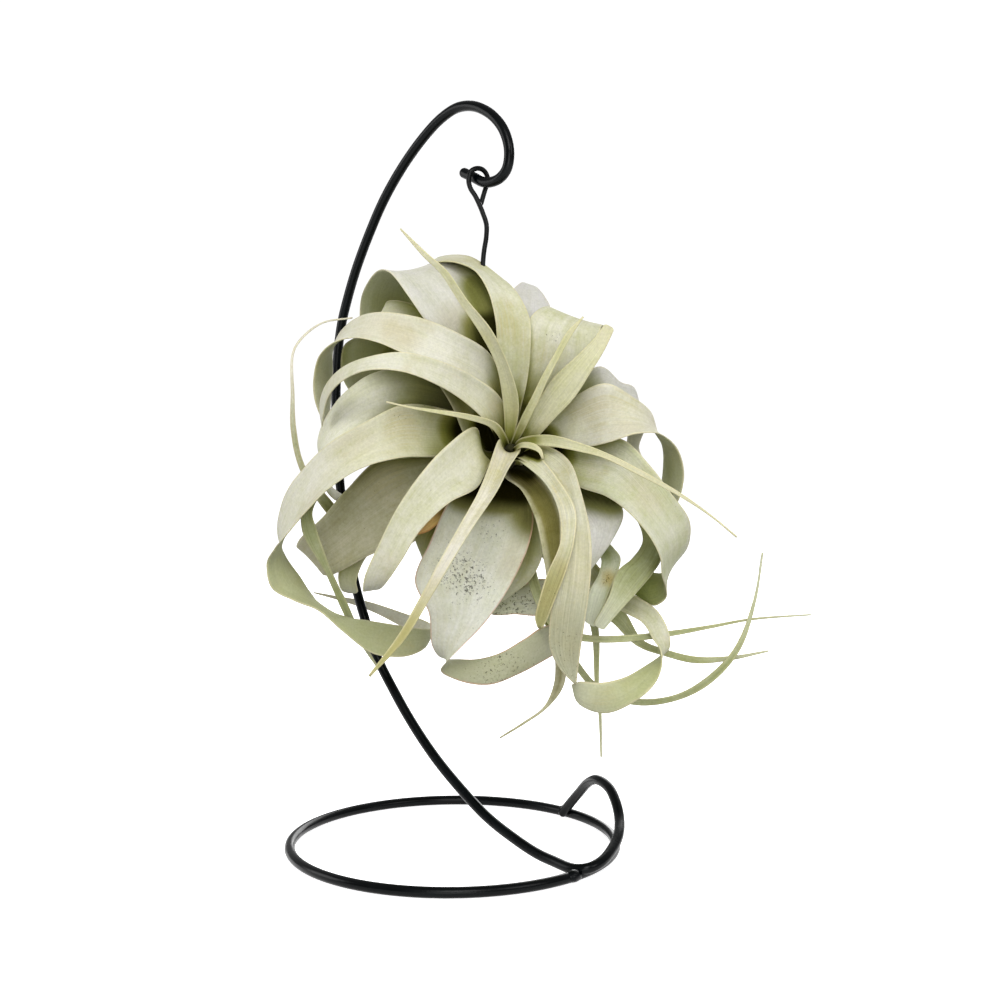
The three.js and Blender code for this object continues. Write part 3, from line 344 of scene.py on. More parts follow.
    "back_upper_left": ("sage", -0.1, 0.5, """
        -10 -15 -8 -13 -28, -24 -6 -18 2 -31, -42 8 -32 20 -37, -54 22 -44 34 -45, -50 34 -40 44 -56,
        -42 42 -41.6 42 -64"""),
    "back_lower_left": ("sage", -0.2, 0.5, """
        -8 -17 -11 -15 -30, -19 -24 -25 -15 -34, -33 -34 -41 -23 -41, -44 -42 -52 -29 -50,
        -46 -46 -54 -35 -60, -46 -38 -46.4 -38 -68"""),
    "back_lower": ("pale", -0.2, 0.5, """
        -6 -17 -9 -18 -31, 10 -29 1 -33 -36, 24 -44 15 -49 -43, 30 -58 20 -63 -52, 30 -64 21 -69 -62,
        26 -63 25.6 -63 -70"""),
    "back_right": ("sage", 0.0, 0.5, """
        -5 -15 -4 -17 -30, 14 -8 10 -18 -34, 32 -6 26 -20 -37, 44 -10 37 -24 -46, 48 -16 41 -28 -57,
        46 -22 45.6 -22 -66"""),
}

# Marks by leaf: kind, then across and up of the two ends, size in mm, strength. In sizes from its
# line, a mark is gone at the fade's first number, and fades over the second.
# Marks other than soot and tan are painted shade: near black in clefts and where other leaves cast
# shadows.
STAINS_AND_SHADE_MARKS = {
    "bottom_broad": [
        ("shade_mark", -17, -14, 3, -16, 9, 1.0), ("shade_mark", 4, -16, 10, -27, 10, 0.6),
        ("soot", -23, -50, -17, -54, 8, 1.0), ("soot", -9, -34, -7, -37, 5, 0.6),
        ("soot", -27, -45, -16, -68, 10, 0.3), ("soot", -5, -90, -2, -92, 9, 0.8),
        ("tan", 0, -50, 2, -44, 5, 0.4),
    ],
    "bottom_back": [("soot", -4, -64, 2, -60, 10, 0.9)],
    "upper_left": [
        ("tan", -48, 46, -43, 44, 5, 0.45), ("tan", -58, 47, -54, 49, 5, 0.25),
        ("soot", -20, 36, -14, 30, 5, 0.2),
    ],
    "left_broad": [("shade_mark", -12, 10, -9, 0, 7, 1.0)],
    "left_narrow": [("shade_mark", -6, 4, -3, -2, 3, 1.0)],
    "lower_left": [("shade_mark", -14, -6, -7, -3, 10, 1.0), ("soot", -62, -32, -52, -26, 10, 0.3)],
    "top": [("shade_mark", -2, 12, 2, 6, 7, 0.8)],
    "spear_left": [("shade_mark", -1, 4, 0, 2, 3, 0.3)],
    "spear_thin_up": [("shade_mark", 1, 2, 3, 6, 2.5, 0.3)],
    "spear_broad_up": [("shade_mark", 1, 2, 4, 5, 3, 0.5)],
    "spear_right": [("shade_mark", 4, 1, 7, 2, 3, 0.45)],
    "inner_olive": [("shade_mark", -1, -7, 6, -10, 5, 0.9)],
    "right_broad": [("tan", 45, 12, 47, 9, 6, 0.3), ("shade_mark", 6, 6, 12, 2.5, 5, 0.85)],
    "right_lower": [("tan", 52, -16, 55, -20, 6, 0.3), ("shade_mark", 4, -4, 14, -3, 8, 1.0)],
    "right_pale": [("shade_mark", 20, -14, 40, -19, 7, 0.8)],
    "back_right": [("shade_mark", 30, 0, 44, -4, 8, 0.6)],
    "front_short": [
        ("shade_mark", 5, -2.6, 10, -4.4, 1.7, 1.0), ("tan", 17, -50, 10, -64, 5, 0.45),
        ("soot", 16, -52, 13, -60, 6, 0.4),
    ],
    "front_hanging": [
        ("shade_mark", 5, -2.6, 10, -4.4, 1.7, 1.0), ("tan", 24, -42, 26, -50, 7, 0.3),
        ("tan", 16, -70, 20, -80, 6, 0.25), ("soot", 20, -80, 23, -90, 8, 0.5),
    ],
    "front_left": [("shade_mark", -11, 2, -8, -9, 3, 0.4)],
    "right_green": [("tan", 38, -53, 38, -54, 2.4, 1.0), ("soot", 38, -53, 38, -54, 1.4, 1.0)],
    "top_right": [("soot", 16, 43, 17, 43, 2.5, 0.8), ("shade_mark", 3, 12, 8, 8, 7, 0.8)],
    "left_large": [
        ("shade_mark", -17, 6, -11, -4, 9, 1.0), ("soot", -44, 12, -38, 18, 5, 0.4),
        ("tan", -66, -2, -63, 3, 6, 0.3),
    ],
    "upper_left_back": [
        ("tan", -24, 50, -22, 46, 5, 0.3), ("shade_mark", -14, 63, -9, 50, 6, 0.58),
        ("shade_mark", -9, 46, -8, 30, 8, 0.9), ("shade_mark", -11, 8, -6, -3, 5, 1.0),
    ],
    "folded_left": [("shade_mark", -46, 36, -30, 30, 6, 0.6), ("shade_mark", -11, 8, -6, -3, 5, 1.0)],
}
MARK_FADE = (1.9, 1.3)

# Leaves whose pale rim is wider, by how many times, and those whose right rim starts late, at
# what share of the length; the distance in mm hides it before that.
WIDE_RIMS = {"inner_olive": 4.5, "ring_curl": 1.4, "olive_left": 1.5}
LATE_RIMS = {"front_short": 0.6}
RIM_HIDDEN = 2

# Skins: colours of the bloom, the blade, the painted shade where it is sheltered, the back, the margin and
# the tip;
# then how strong the soot, the tan stains, the lines, the pale base and the tip's colour are.
SKIN_PARTS = ("bloom", "blade", "base", "back", "margin", "tip", "soot", "tan", "lines", "near", "far")
SKINS = {
    "sage": ((210, 208, 193), (181, 182, 139), (118, 120, 34), (160, 165, 112), (214, 206, 166),
        (208, 207, 190), 0.6, 0.45, 0.11, 0.6, 0.5),
    # Dark green towards the tip: painted shade on the leaf's curled lower end.
    "shade_tipped": ((208, 207, 190), (180, 184, 138), (118, 120, 34), (148, 154, 96), (214, 206, 166),
        (118, 128, 56), 0.6, 0.45, 0.11, 0.6, 0.95),
    "young": ((210, 208, 178), (186, 186, 130), (126, 130, 32), (156, 159, 104), (210, 203, 160),
        (206, 201, 170), 0.2, 0.3, 0.2, 0.9, 0.7),
    "slender": ((210, 206, 192), (182, 177, 130), (150, 146, 74), (154, 156, 98), (206, 199, 158),
        (176, 170, 112), 0.2, 0.3, 0.24, 0.0, 1.0),
    # A darker copy of the leaf skin: painted shade for a leaf that lies under others.
    "dusky_shaded": ((180, 176, 150), (150, 148, 112), (106, 104, 40), (140, 140, 100), (196, 188, 154),
        (176, 174, 150), 0.8, 0.3, 0.14, 0.3, 0.5),
    "ageing": ((208, 206, 190), (182, 181, 138), (118, 120, 34), (160, 165, 112), (210, 200, 158),
        (154, 152, 102), 0.8, 0.75, 0.34, 0.6, 1.0),
    "greying": ((208, 206, 190), (182, 181, 138), (118, 120, 34), (160, 165, 112), (212, 202, 164),
        (172, 172, 144), 0.9, 0.75, 0.28, 0.6, 1.0),
    # Dark olive skin: painted shade inside a channelled leaf's hollow.
    "hollow": ((134, 128, 72), (106, 100, 42), (84, 78, 26), (118, 120, 62), (214, 210, 178),
        (140, 138, 90), 0.3, 0.3, 0.22, 0.1, 0.7),
    "olive": ((176, 180, 142), (146, 152, 96), (98, 102, 36), (132, 138, 84), (188, 185, 142),
        (204, 206, 184), 0.3, 0.2, 0.3, 0.4, 0.8),
    "paling": ((188, 188, 158), (144, 148, 98), (98, 102, 36), (138, 144, 90), (190, 180, 140),
        (240, 238, 228), 0.3, 0.2, 0.18, 0.4, 1.0),
    "fresh": ((206, 209, 188), (168, 178, 128), (116, 124, 56), (152, 160, 104), (208, 205, 172),
        (200, 203, 178), 0.4, 0.2, 0.2, 0.3, 0.5),
    "pale": ((200, 198, 194), (182, 182, 164), (132, 134, 78), (186, 185, 166), (200, 193, 168),
        (200, 196, 182), 0.5, 0.15, 0.1, 0.3, 0.5),
    "lilac": ((208, 206, 198), (186, 187, 160), (122, 124, 48), (160, 165, 112), (208, 201, 170),
        (204, 202, 190), 0.4, 0.15, 0.1, 0.5, 0.5),
    # Whiter skin, partly painted light: it brightens two leaves that lie in the shade of other leaves.
    "frosted_lit": ((242, 240, 234), (214, 214, 186), (134, 135, 66), (206, 205, 186), (214, 206, 176),
        (212, 209, 192), 0.6, 0.15, 0.12, 0.2, 0.5),
    "speckled": ((220, 220, 210), (194, 196, 166), (112, 110, 46), (162, 163, 124), (208, 162, 134),
        (214, 213, 200), 1.0, 0.25, 0.1, 0.2, 0.5),
    "dried": ((252, 220, 156), (240, 202, 132), (230, 188, 112), (196, 140, 76), (196, 116, 62),
        (190, 110, 56), 0.2, 0.3, 0.3, 0.1, 0.5),
}
NEAR_PAINT = (189, 188, 127)
# The near black painted as shade in clefts and in the darkest shadows.
CLEFT_SHADE_PAINT = (20, 17, 1)
TAN_PAINT = (169, 156, 102)
SOOT_PAINT = (44, 42, 24)

# Leaf noises: scale per metre, detail, roughness. Lines and bands are stretched along the blade,
# by their scales across and along it, per mm.
LEAF_NOISES = {
    "mottle": (60, 7, 0.68), "grain": (1100, 2, 0.5), "dust": (380, 4, 0.7),
    "stain": (32, 5, 0.65), "patch": (55, 3, 0.5), "specks": (950, 3, 0.8),
}
LONG_NOISES = {"lines": ((1.8, 0.03, 1), 3, 0.65), "bands": ((0.35, 0.018, 1), 2, 0.5)}
# What makes up the bloom, and by how much.
BLOOM_SHARES = {"mottle": 0.85, "bands": 0.42, "dust": 0.45, "tone": 0.3}
# Ramps: the values where a share starts and ends, and what it is there if not 0 and 1.
RAMPS = {
    "bloom": (0.5, 1.18),
    "near": (0.36, 0.04),
    # Painted shade: greener, then near black, where other leaves hide the sky or a shade mark lies.
    "green_and_shade_by_shelter": (0.42, 0.82, 0.0, 0.92),
    "green_and_shade_by_mark": (0.02, 0.55, 0.0, 0.95),
    "shade_by_shelter": (0.74, 0.95, 0.0, 0.96),
    "shade_by_mark": (0.35, 1.0, 0.0, 0.98),
    "far": (0.78, 1.0),
    "far_full": (0.62, 0.84),
    "streak": (0.4, 0.6, 0.25, 1.0),
    "stain": (0.48, 0.66),
    "drawn": (0.3, 0.6),
    "margin": (0.7, 0.1),
    "margin_wear": (0.3, 0.6, 0.15, 0.65),
    "patch": (0.5, 0.7),
    "gloss": (0.0, 0.8, 0.14, 0.0),
    "sheen": (0.0, 0.8, 0.08, 0.0),
}
BACK_SHARE = 0.75
LINE_CONTRAST = 3
GRAIN_CONTRAST = 0.3
GRAIN_RELIEF = 0.35
LEAF_BUMP = (0.3, 0.0005)
PATCH_SHARE = 0.35
SPECK_LEVEL = 0.7
SPECK_SPREAD = 0.17
SPECK_EDGE = 14
SPECK_SHARE = 0.8
LEAF_SURFACE = {
    "Roughness": 0.75, "Sheen Roughness": 0.5, "Subsurface Weight": 0.08,
    "Subsurface Radius": (0.8, 1.0, 0.4), "Subsurface Scale": 0.0012,
}

# Wires: the noises of the coat's peel and wear, how much lighter and rougher it is where worn, and
# the wear between which each changes. Then the colour, roughness and gloss of each coat.
WIRE_PEEL = (700, 2)
WIRE_WEAR = (90, 3)
WIRE_WORN = 1.7
WORN_COLOUR = (0.4, 0.7)
WORN_ROUGHNESS = (0.3, 0.7)
WIRE_SPREAD = (-0.05, 0.07)
WIRE_BUMP = (0.15, 0.0002)
WIRES = {
    "stand_paint": ((1, 3, 4), 0.24, 0.11),
    "hanger_metal": ((7, 9, 9), 0.3, 0.14),
}

# Bark of the stem. Its front end, among the leaf bases, gets painted shade between two places along Y, in
# metres.
BARK_FIBRES = (260, 5, 0.7)
BARK_PAINTS = ((84, 66, 42), (150, 128, 92))
BARK_CONTRAST = (0.35, 0.65)
BARK_FRONT_SHADE = (44, 42, 8)
BARK_FRONT_SHADE_ENDS = (0.0, -0.006)
BARK_BUMP = (0.6, 0.0008)

# ---- Studio, in metres: the world's glow from below and from above, the heights between which it
# changes, and what the camera sees of it; lamps as place, size and power; the floor; and the
# camera, with its tilt down in degrees.
GLOW = (0.3, 0.52)
GLOW_HEIGHTS = (-0.6, 0.9)
BACKDROP = 1.05
LAMPS = [
    ("key", (0.05, -0.95, 0.85), 0.5, 6.5),
    ("right", (0.8, -0.7, 0.7), 0.5, 3.4),
    ("front", (0, -1.2, 0.2), 0.6, 5.1),
    ("left", (-1.1, 0.05, 0.4), 0.6, 4.6),
    ("back", (0.35, 1.2, 0.5), 0.8, 9),
]
LAMP_TARGET = (0, 0, 0.16)
FLOOR_REACH = 6
FLOOR_DEPTH = -0.0003
FLOOR_SURFACE = {
    "Base Color": (0.9, 0.9, 0.9, 1), "Roughness": 0.9,
    "Emission Color": (1, 1, 1, 1), "Emission Strength": 0.82,
}
CAMERA = {"lens": 50.05, "sensor_width": 36, "clip_start": 0.01}
CAMERA_TILT = 2.16


# ---- Curves

def smooth_curve(points, samples_per_span):
    """A centripetal Catmull-Rom curve through the points."""
    points = np.asarray(points, float)
    padded = np.vstack([2 * points[0] - points[1], points, 2 * points[-1] - points[-2]])
    gap = np.sqrt(np.linalg.norm(np.diff(padded, axis=0), axis=1))
    gap = np.maximum(gap, 1e-4)
    rows = []
    for i in range(len(points) - 1):
        p0, p1, p2, p3 = padded[i:i + 4]
        g0, g1, g2 = gap[i:i + 3]
        m1 = ((p1 - p0) / g0 - (p2 - p0) / (g0 + g1) + (p2 - p1) / g1) * g1
        m2 = ((p2 - p1) / g1 - (p3 - p1) / (g1 + g2) + (p3 - p2) / g2) * g1
        w = np.linspace(0, 1, samples_per_span, endpoint=False)[:, None]
        rows.append(p1 + m1 * w + (-3 * p1 + 3 * p2 - 2 * m1 - m2) * w**2
                    + (2 * p1 - 2 * p2 + m1 + m2) * w**3)
    return np.vstack(rows + [points[-1:]])


def unit(v):
    return v / np.maximum(np.linalg.norm(v, axis=-1, keepdims=True), 1e-9)


def smoothed(rows):
    """Each row but the first and last as its mean with its neighbours, itself counted twice."""
    return (rows[:-2] + 2 * rows[1:-1] + rows[2:]) / 4


def seen(across, up, forward):
    """The place that the viewer sees across and up from the crown, drawn forward to the eye."""
    place = CROWN + across * ACROSS + up * UP
    return place + (EYE - place) * forward / EYE_DISTANCE


def as_viewed(places):
    """Across and up, in the crown's own plane, of what the viewer sees at these places."""
    share = (EYE[1] - CROWN[1]) / (EYE[1] - places[:, 1])
    across = EYE[0] + (places[:, 0] - EYE[0]) * share - CROWN[0]
    return across, EYE[2] + (places[:, 2] - EYE[2]) * share - CROWN[2]


def behind_crown(distance):
    return CROWN + STEM_AXIS * distance


def letter_sum(name, most):
    """A number below the most, always the same one for a name."""
    return float(sum(map(ord, name)) % most)


# ---- Node helpers

class Nodes:
    """Short calls for building a node tree."""

    def __init__(self, tree):
        self.tree = tree

    def add(self, kind, inputs=None, **settings):
        node = self.tree.nodes.new(kind)
        for key, value in settings.items():
            setattr(node, key, value)
        self.fill(node, inputs or {})
        return node

    def fill(self, node, inputs):
        for key, value in inputs.items():
            if isinstance(value, bpy.types.NodeSocket):
                self.tree.links.new(value, node.inputs[key])
            else:
                node.inputs[key].default_value = value

    def math(self, operation, a, b=0.0, clamp=False):
        return self.add("ShaderNodeMath", {0: a, 1: b}, operation=operation, use_clamp=clamp).outputs[0]

    def plus(self, a, b):
        return self.math("ADD", a, b)

    def times(self, a, b):
        return self.math("MULTIPLY", a, b)

    def larger(self, a, b):
        return self.math("MAXIMUM", a, b)

    def step(self, value, low, high, to_low=0.0, to_high=1.0):
        return self.add("ShaderNodeMapRange", {
            "Value": value, "From Min": low, "From Max": high, "To Min": to_low, "To Max": to_high,
        }, interpolation_type="SMOOTHSTEP").outputs["Result"]

    def ramp(self, name, value):
        return self.step(value, *RAMPS[name])

    def mix(self, share, a, b, blend="MIX"):
        node = self.add("ShaderNodeMix", {0: share, 6: a, 7: b}, data_type="RGBA", blend_type=blend)
        return node.outputs[2]

    def noise(self, vector, scale, detail, roughness=0.5):
        return self.add("ShaderNodeTexNoise", {
            "Vector": vector, "Scale": scale, "Detail": detail, "Roughness": roughness,
        }).outputs[0]

    def bump(self, height, strength, distance):
        return self.add("ShaderNodeBump", {
            "Height": height, "Strength": strength, "Distance": distance,
        }).outputs[0]

    def place(self):
        return self.add("ShaderNodeTexCoord").outputs["Object"]

    def attribute(self, name, output="Fac"):
        return self.add("ShaderNodeAttribute", attribute_name=name).outputs[output]

    def stored(self, name, kind="FLOAT"):
        return self.add("GeometryNodeInputNamedAttribute", {"Name": name}, data_type=kind).outputs[0]

    def scaled(self, vector, factor):
        return self.add("ShaderNodeVectorMath", {0: vector, 3: factor}, operation="SCALE").outputs[0]


def colour(red, green, blue):
    """A linear colour from 8-bit sRGB numbers."""
    def linear(c):
        c /= 255
        return c / 12.92 if c <= 0.04045 else ((c + 0.055) / 1.055) ** 2.4
    return (linear(red), linear(green), linear(blue), 1)


def new_material(name):
    material = bpy.data.materials.new(name)
    material.use_nodes = True
    return material, Nodes(material.node_tree), material.node_tree.nodes["Principled BSDF"]


# ---- Materials

def leaf_material(name, skin):
    """Velvety leaf skin: bloom over green, painted shade, long lines, a pale margin, stains and sooty
    specks.
    """
    material, n, shader = new_material(name)
    place, grid = n.place(), n.attribute("blade", "Vector")
    noise = {key: n.noise(place, *numbers) for key, numbers in LEAF_NOISES.items()}
    for key, (stretch, *numbers) in LONG_NOISES.items():
        stretched = n.add("ShaderNodeMapping", {"Vector": grid, "Scale": stretch}).outputs[0]
        noise[key] = n.noise(stretched, 1.0, *numbers)

    paint = bloom_paint(n, skin, noise)
    paint, painted_shade = length_paint(n, skin, paint)
    paint = stain_paint(n, skin, noise, paint, n.math("SUBTRACT", 1.0, painted_shade))
    paint = line_paint(n, skin, noise, paint)
    paint = soot_paint(n, skin, noise, paint)
    relief = n.plus(noise["lines"], n.times(noise["grain"], GRAIN_RELIEF))
    n.fill(shader, {
        "Base Color": paint,
        "Normal": n.bump(relief, *LEAF_BUMP),
        # Less gloss and sheen where shade is painted.
        "Specular IOR Level": n.ramp("gloss", painted_shade),
        "Sheen Weight": n.ramp("sheen", painted_shade),
        **LEAF_SURFACE,
    })
    return material


def bloom_paint(n, skin, noise):
    """Pale bloom in soft patches over the blade's green, and the plainer back."""
    sources = {**noise, "tone": n.attribute("tone")}
    bloom, *others = [n.times(sources[key], share) for key, share in BLOOM_SHARES.items()]
    for other in others:
        bloom = n.plus(bloom, other)
    paint = n.mix(n.ramp("bloom", bloom), colour(*skin["blade"]), colour(*skin["bloom"]))
    return n.mix(n.times(n.attribute("under"), BACK_SHARE), paint, colour(*skin["back"]))


def length_paint(n, skin, paint):
    """Paler at the base; painted shade, greener then near black, where sheltered or marked; the tip's
    colour.
    """
    along, shelter, marked_shade = (n.attribute(key) for key in ("along", "shelter", "shade_mark"))
    paint = n.mix(n.times(n.ramp("near", along), skin["near"]), paint, colour(*NEAR_PAINT))
    # Painted shade from shelter and marks: the green is partly the inner leaf's own colour, the near black
    # is shade alone.
    green = n.larger(n.ramp("green_and_shade_by_shelter", shelter), n.ramp("green_and_shade_by_mark", marked_shade))
    paint = n.mix(green, paint, colour(*skin["base"]))
    painted_shade = n.larger(n.ramp("shade_by_shelter", shelter), n.ramp("shade_by_mark", marked_shade))
    paint = n.mix(painted_shade, paint, colour(*CLEFT_SHADE_PAINT))
    fade = RAMPS["far_full" if skin["far"] == 1 else "far"]
    return n.mix(n.step(along, *fade, 0.0, skin["far"]), paint, colour(*skin["tip"])), painted_shade


def stain_paint(n, skin, noise, paint, lit):
    """Tan stains, both chance and drawn ones, and the pale margin, faded out where shade is painted."""
    chance = n.times(n.ramp("stain", noise["stain"]), skin["tan"])
    chance = n.times(chance, n.ramp("streak", noise["lines"]))
    drawn = n.times(n.attribute("tan"), n.ramp("drawn", noise["mottle"]))
    paint = n.mix(n.times(n.larger(chance, drawn), lit), paint, colour(*TAN_PAINT))
    rim = n.times(n.ramp("margin", n.attribute("margin")), n.ramp("margin_wear", noise["mottle"]))
    return n.mix(n.times(rim, lit), paint, colour(*skin["margin"]))


def line_paint(n, skin, noise, paint):
    """Fine lines that run with the leaf, and a fine grain."""
    shade = n.times(n.math("SUBTRACT", noise["lines"], 0.5), skin["lines"] * LINE_CONTRAST)
    shade = n.plus(shade, n.times(n.math("SUBTRACT", noise["grain"], 0.5), GRAIN_CONTRAST))
    shade = n.plus(shade, 1.0)
    grey = n.add("ShaderNodeCombineColor", {0: shade, 1: shade, 2: shade}).outputs[0]
    return n.mix(1.0, paint, grey, "MULTIPLY")


def soot_paint(n, skin, noise, paint):
    """Sooty specks: thick in the drawn patches, thin elsewhere."""
    patch = n.times(n.ramp("patch", noise["patch"]), PATCH_SHARE * skin["soot"])
    patch = n.larger(patch, n.attribute("soot"))
    threshold = n.math("SUBTRACT", SPECK_LEVEL, n.times(patch, SPECK_SPREAD))
    specks = n.math("MULTIPLY", n.math("SUBTRACT", noise["specks"], threshold), SPECK_EDGE, clamp=True)
    return n.mix(n.times(specks, SPECK_SHARE), paint, colour(*SOOT_PAINT))


def wire_material(name, base, roughness, gloss):
    """A dark coat with a slight peel, a little lighter where it is worn."""
    material, n, shader = new_material(name)
    place = n.place()
    wear = n.noise(place, *WIRE_WEAR)
    base = colour(*base)
    worn = tuple(min(1, WIRE_WORN * c) for c in base[:3]) + (1,)
    low, high = (roughness + change for change in WIRE_SPREAD)
    n.fill(shader, {
        "Base Color": n.mix(n.step(wear, *WORN_COLOUR), base, worn),
        "Roughness": n.step(wear, *WORN_ROUGHNESS, low, high),
        "Normal": n.bump(n.noise(place, *WIRE_PEEL), *WIRE_BUMP),
        "Specular IOR Level": gloss,
    })
    return material


def stem_material():
    """Fibrous bark, with painted shade at its front end among the leaf bases."""
    material, n, shader = new_material("stem_bark")
    place = n.place()
    fibres = n.noise(place, *BARK_FIBRES)
    paint = n.mix(n.step(fibres, *BARK_CONTRAST), *(colour(*paint) for paint in BARK_PAINTS))
    depth = n.add("ShaderNodeSeparateXYZ", {0: place}).outputs[1]
    n.fill(shader, {
        "Base Color": n.mix(n.step(depth, *BARK_FRONT_SHADE_ENDS), paint, colour(*BARK_FRONT_SHADE)),
        "Normal": n.bump(fibres, *BARK_BUMP),
        "Roughness": 0.9,
    })
    return material


# ---- Geometry trees

def new_tree(name, sockets):
    tree = bpy.data.node_groups.new(name, "GeometryNodeTree")
    tree.interface.new_socket("Geometry", in_out="INPUT", socket_type="NodeSocketGeometry")
    for label, kind, value in sockets:
        socket = tree.interface.new_socket(label, in_out="INPUT", socket_type=kind)
        if value is not None:
            socket.default_value = value
    tree.interface.new_socket("Geometry", in_out="OUTPUT", socket_type="NodeSocketGeometry")
    n = Nodes(tree)
    return tree, n, n.add("NodeGroupInput").outputs, n.add("NodeGroupOutput")


def close_tree(n, geometry, given, group_out):
    smooth = n.add("GeometryNodeSetShadeSmooth", {"Geometry": geometry}).outputs[0]
    real = n.add("GeometryNodeRealizeInstances", {"Geometry": smooth}).outputs[0]
    painted = n.add("GeometryNodeSetMaterial", {"Geometry": real, "Material": given["Material"]})
    n.fill(group_out, {0: painted.outputs[0]})


def blade_tree():
    """Ripples a leaf blade along its stored face direction, most of all at its edges."""
    tree, n, given, group_out = new_tree("leaf_blade", [
        ("Ripple", "NodeSocketFloat", 0.0003),
        ("Ripple size", "NodeSocketFloat", 0.02),
        ("Seed", "NodeSocketFloat", 0.0),
        ("Material", "NodeSocketMaterial", None),
    ])
    spread = n.scaled(n.stored("blade", "FLOAT_VECTOR"), n.math("DIVIDE", MM, given["Ripple size"]))
    wave = n.add("ShaderNodeTexNoise", {"Vector": spread, "W": given["Seed"], "Scale": 1.0, "Detail": 2.0},
                 noise_dimensions="4D")
    reach = n.times(n.math("POWER", n.stored("edge"), 2.0), RIPPLE_EDGE)
    height = n.times(n.math("SUBTRACT", wave.outputs[0], 0.5), n.plus(reach, RIPPLE_MIDDLE))
    free = n.step(n.stored("along"), *RIPPLE_STARTS)
    height = n.times(height, n.times(free, given["Ripple"]))
    shift = n.scaled(n.stored("facing", "FLOAT_VECTOR"), height)
    moved = n.add("GeometryNodeSetPosition", {"Geometry": given[0], "Offset": shift})
    close_tree(n, moved.outputs[0], given, group_out)
    return tree


def wire_tree():
    """A round wire along a curve, with a dome on each end if wanted."""
    tree, n, given, group_out = new_tree("round_wire", [
        ("Radius", "NodeSocketFloat", 0.002),
        ("Sides", "NodeSocketInt", 24),
        ("Round ends", "NodeSocketBool", True),
        ("Material", "NodeSocketMaterial", None),
    ])
    radius, sides = given["Radius"], given["Sides"]
    profile = n.add("GeometryNodeCurvePrimitiveCircle", {"Resolution": sides, "Radius": radius})
    wire = n.add("GeometryNodeCurveToMesh", {
        "Curve": given[0], "Profile Curve": profile.outputs[0], "Fill Caps": True})
    dome = n.add("GeometryNodeMeshUVSphere", {"Segments": sides, "Rings": DOME_RINGS, "Radius": radius})
    tips = n.add("GeometryNodeCurveEndpointSelection").outputs[0]
    chosen = n.add("FunctionNodeBooleanMath", {0: tips, 1: given["Round ends"]}, operation="AND")
    domes = n.add("GeometryNodeInstanceOnPoints", {
        "Points": given[0], "Instance": dome.outputs[0], "Selection": chosen.outputs[0]})
    joined = n.add("GeometryNodeJoinGeometry")
    for part in (wire, domes):
        n.fill(joined, {0: part.outputs[0]})
    close_tree(n, joined.outputs[0], given, group_out)
    return tree


def bake(obj, tree, **values):
    """Runs a geometry tree on the object and returns its result as a plain mesh object."""
    modifier = obj.modifiers.new(tree.name, "NODES")
    modifier.node_group = tree
    for item in tree.interface.items_tree:
        key = item.name.lower().replace(" ", "_")
        if item.in_out == "INPUT" and key in values:
            modifier[item.identifier] = values[key]
    depsgraph = bpy.context.evaluated_depsgraph_get()
    depsgraph.update()
    mesh = bpy.data.meshes.new_from_object(obj.evaluated_get(depsgraph), depsgraph=depsgraph)
    name = obj.name
    bpy.data.objects.remove(obj)
    mesh.name = name
    return linked(name, mesh)


# ---- Meshes

def linked(name, data):
    obj = bpy.data.objects.new(name, data)
    bpy.context.scene.collection.objects.link(obj)
    return obj


def mesh_object(name, points, faces):
    mesh = bpy.data.meshes.new(name)
    mesh.from_pydata([tuple(p) for p in points], [], faces)
    return linked(name, mesh)


def store(mesh, name, values, kind="FLOAT"):
    attribute = mesh.attributes.new(name, kind, "POINT")
    flat = np.asarray(values, np.float32).ravel()
    attribute.data.foreach_set("vector" if kind == "FLOAT_VECTOR" else "value", flat)


def band_faces(bands, around, start=0):
    """Quads between rings of so many points, the first ring's first point being start."""
    faces = []
    for i in range(bands):
        ring = start + i * around
        for k in range(around):
            p, q = ring + k, ring + (k + 1) % around
            faces.append((p, q, q + around, p + around))
    return faces


def fan_faces(pole, start, around):
    """Triangles from a pole to the ring of points from start on."""
    return [(pole, start + k, start + (k + 1) % around) for k in range(around)]


def turned(faces, start=0):
    """The faces turned to their other side, with their points counted from start."""
    return [tuple(start + p for p in (face[0], *face[:0:-1])) for face in faces]


# ---- Leaves

def blade_edges(stations):
    """Both edges at even rows from base to tip, with the tip's corners rounded.

    Also gives each row's distance from the base in mm, and its share of the stations passed.
    """
    left, right = [], []
    for station in stations.split(","):
        left_x, left_z, right_x, right_z, forward, *lean = map(float, station.split())
        half_lean = sum(lean) / 2
        left.append(seen(left_x, left_z, forward - half_lean))
        right.append(seen(right_x, right_z, forward + half_lean))
    left, right = smooth_curve(left, EDGE_SAMPLES), smooth_curve(right, EDGE_SAMPLES)
    middle = (left + right) / 2
    distance = np.r_[0, np.cumsum(np.linalg.norm(np.diff(middle, axis=0), axis=1))]
    length = distance[-1]
    wanted = np.linspace(0, length, max(LEAST_ROWS, int(length / ROW_SPACING)) + 1)
    corner = TIP_CORNER * np.linalg.norm(right[-1] - left[-1])
    if corner > LEAST_CORNER:
        arc = length - corner + corner * np.sin(np.linspace(0, math.pi / 2, CORNER_ROWS))
        wanted = np.r_[wanted[wanted < length - corner - LEAST_CORNER], arc]
    passed = np.interp(wanted, distance, np.linspace(0, 1, len(distance)))
    left, right = (np.stack([np.interp(wanted, distance, line) for line in edge.T], axis=1)
                   for edge in (left, right))
    if corner > LEAST_CORNER:
        left_over = np.minimum(length - wanted, corner)
        inset = corner - np.sqrt(corner**2 - (corner - left_over)**2)
        shift = unit(right - left) * inset[:, None]
        left, right = left + shift, right - shift
    return left, right, wanted, passed


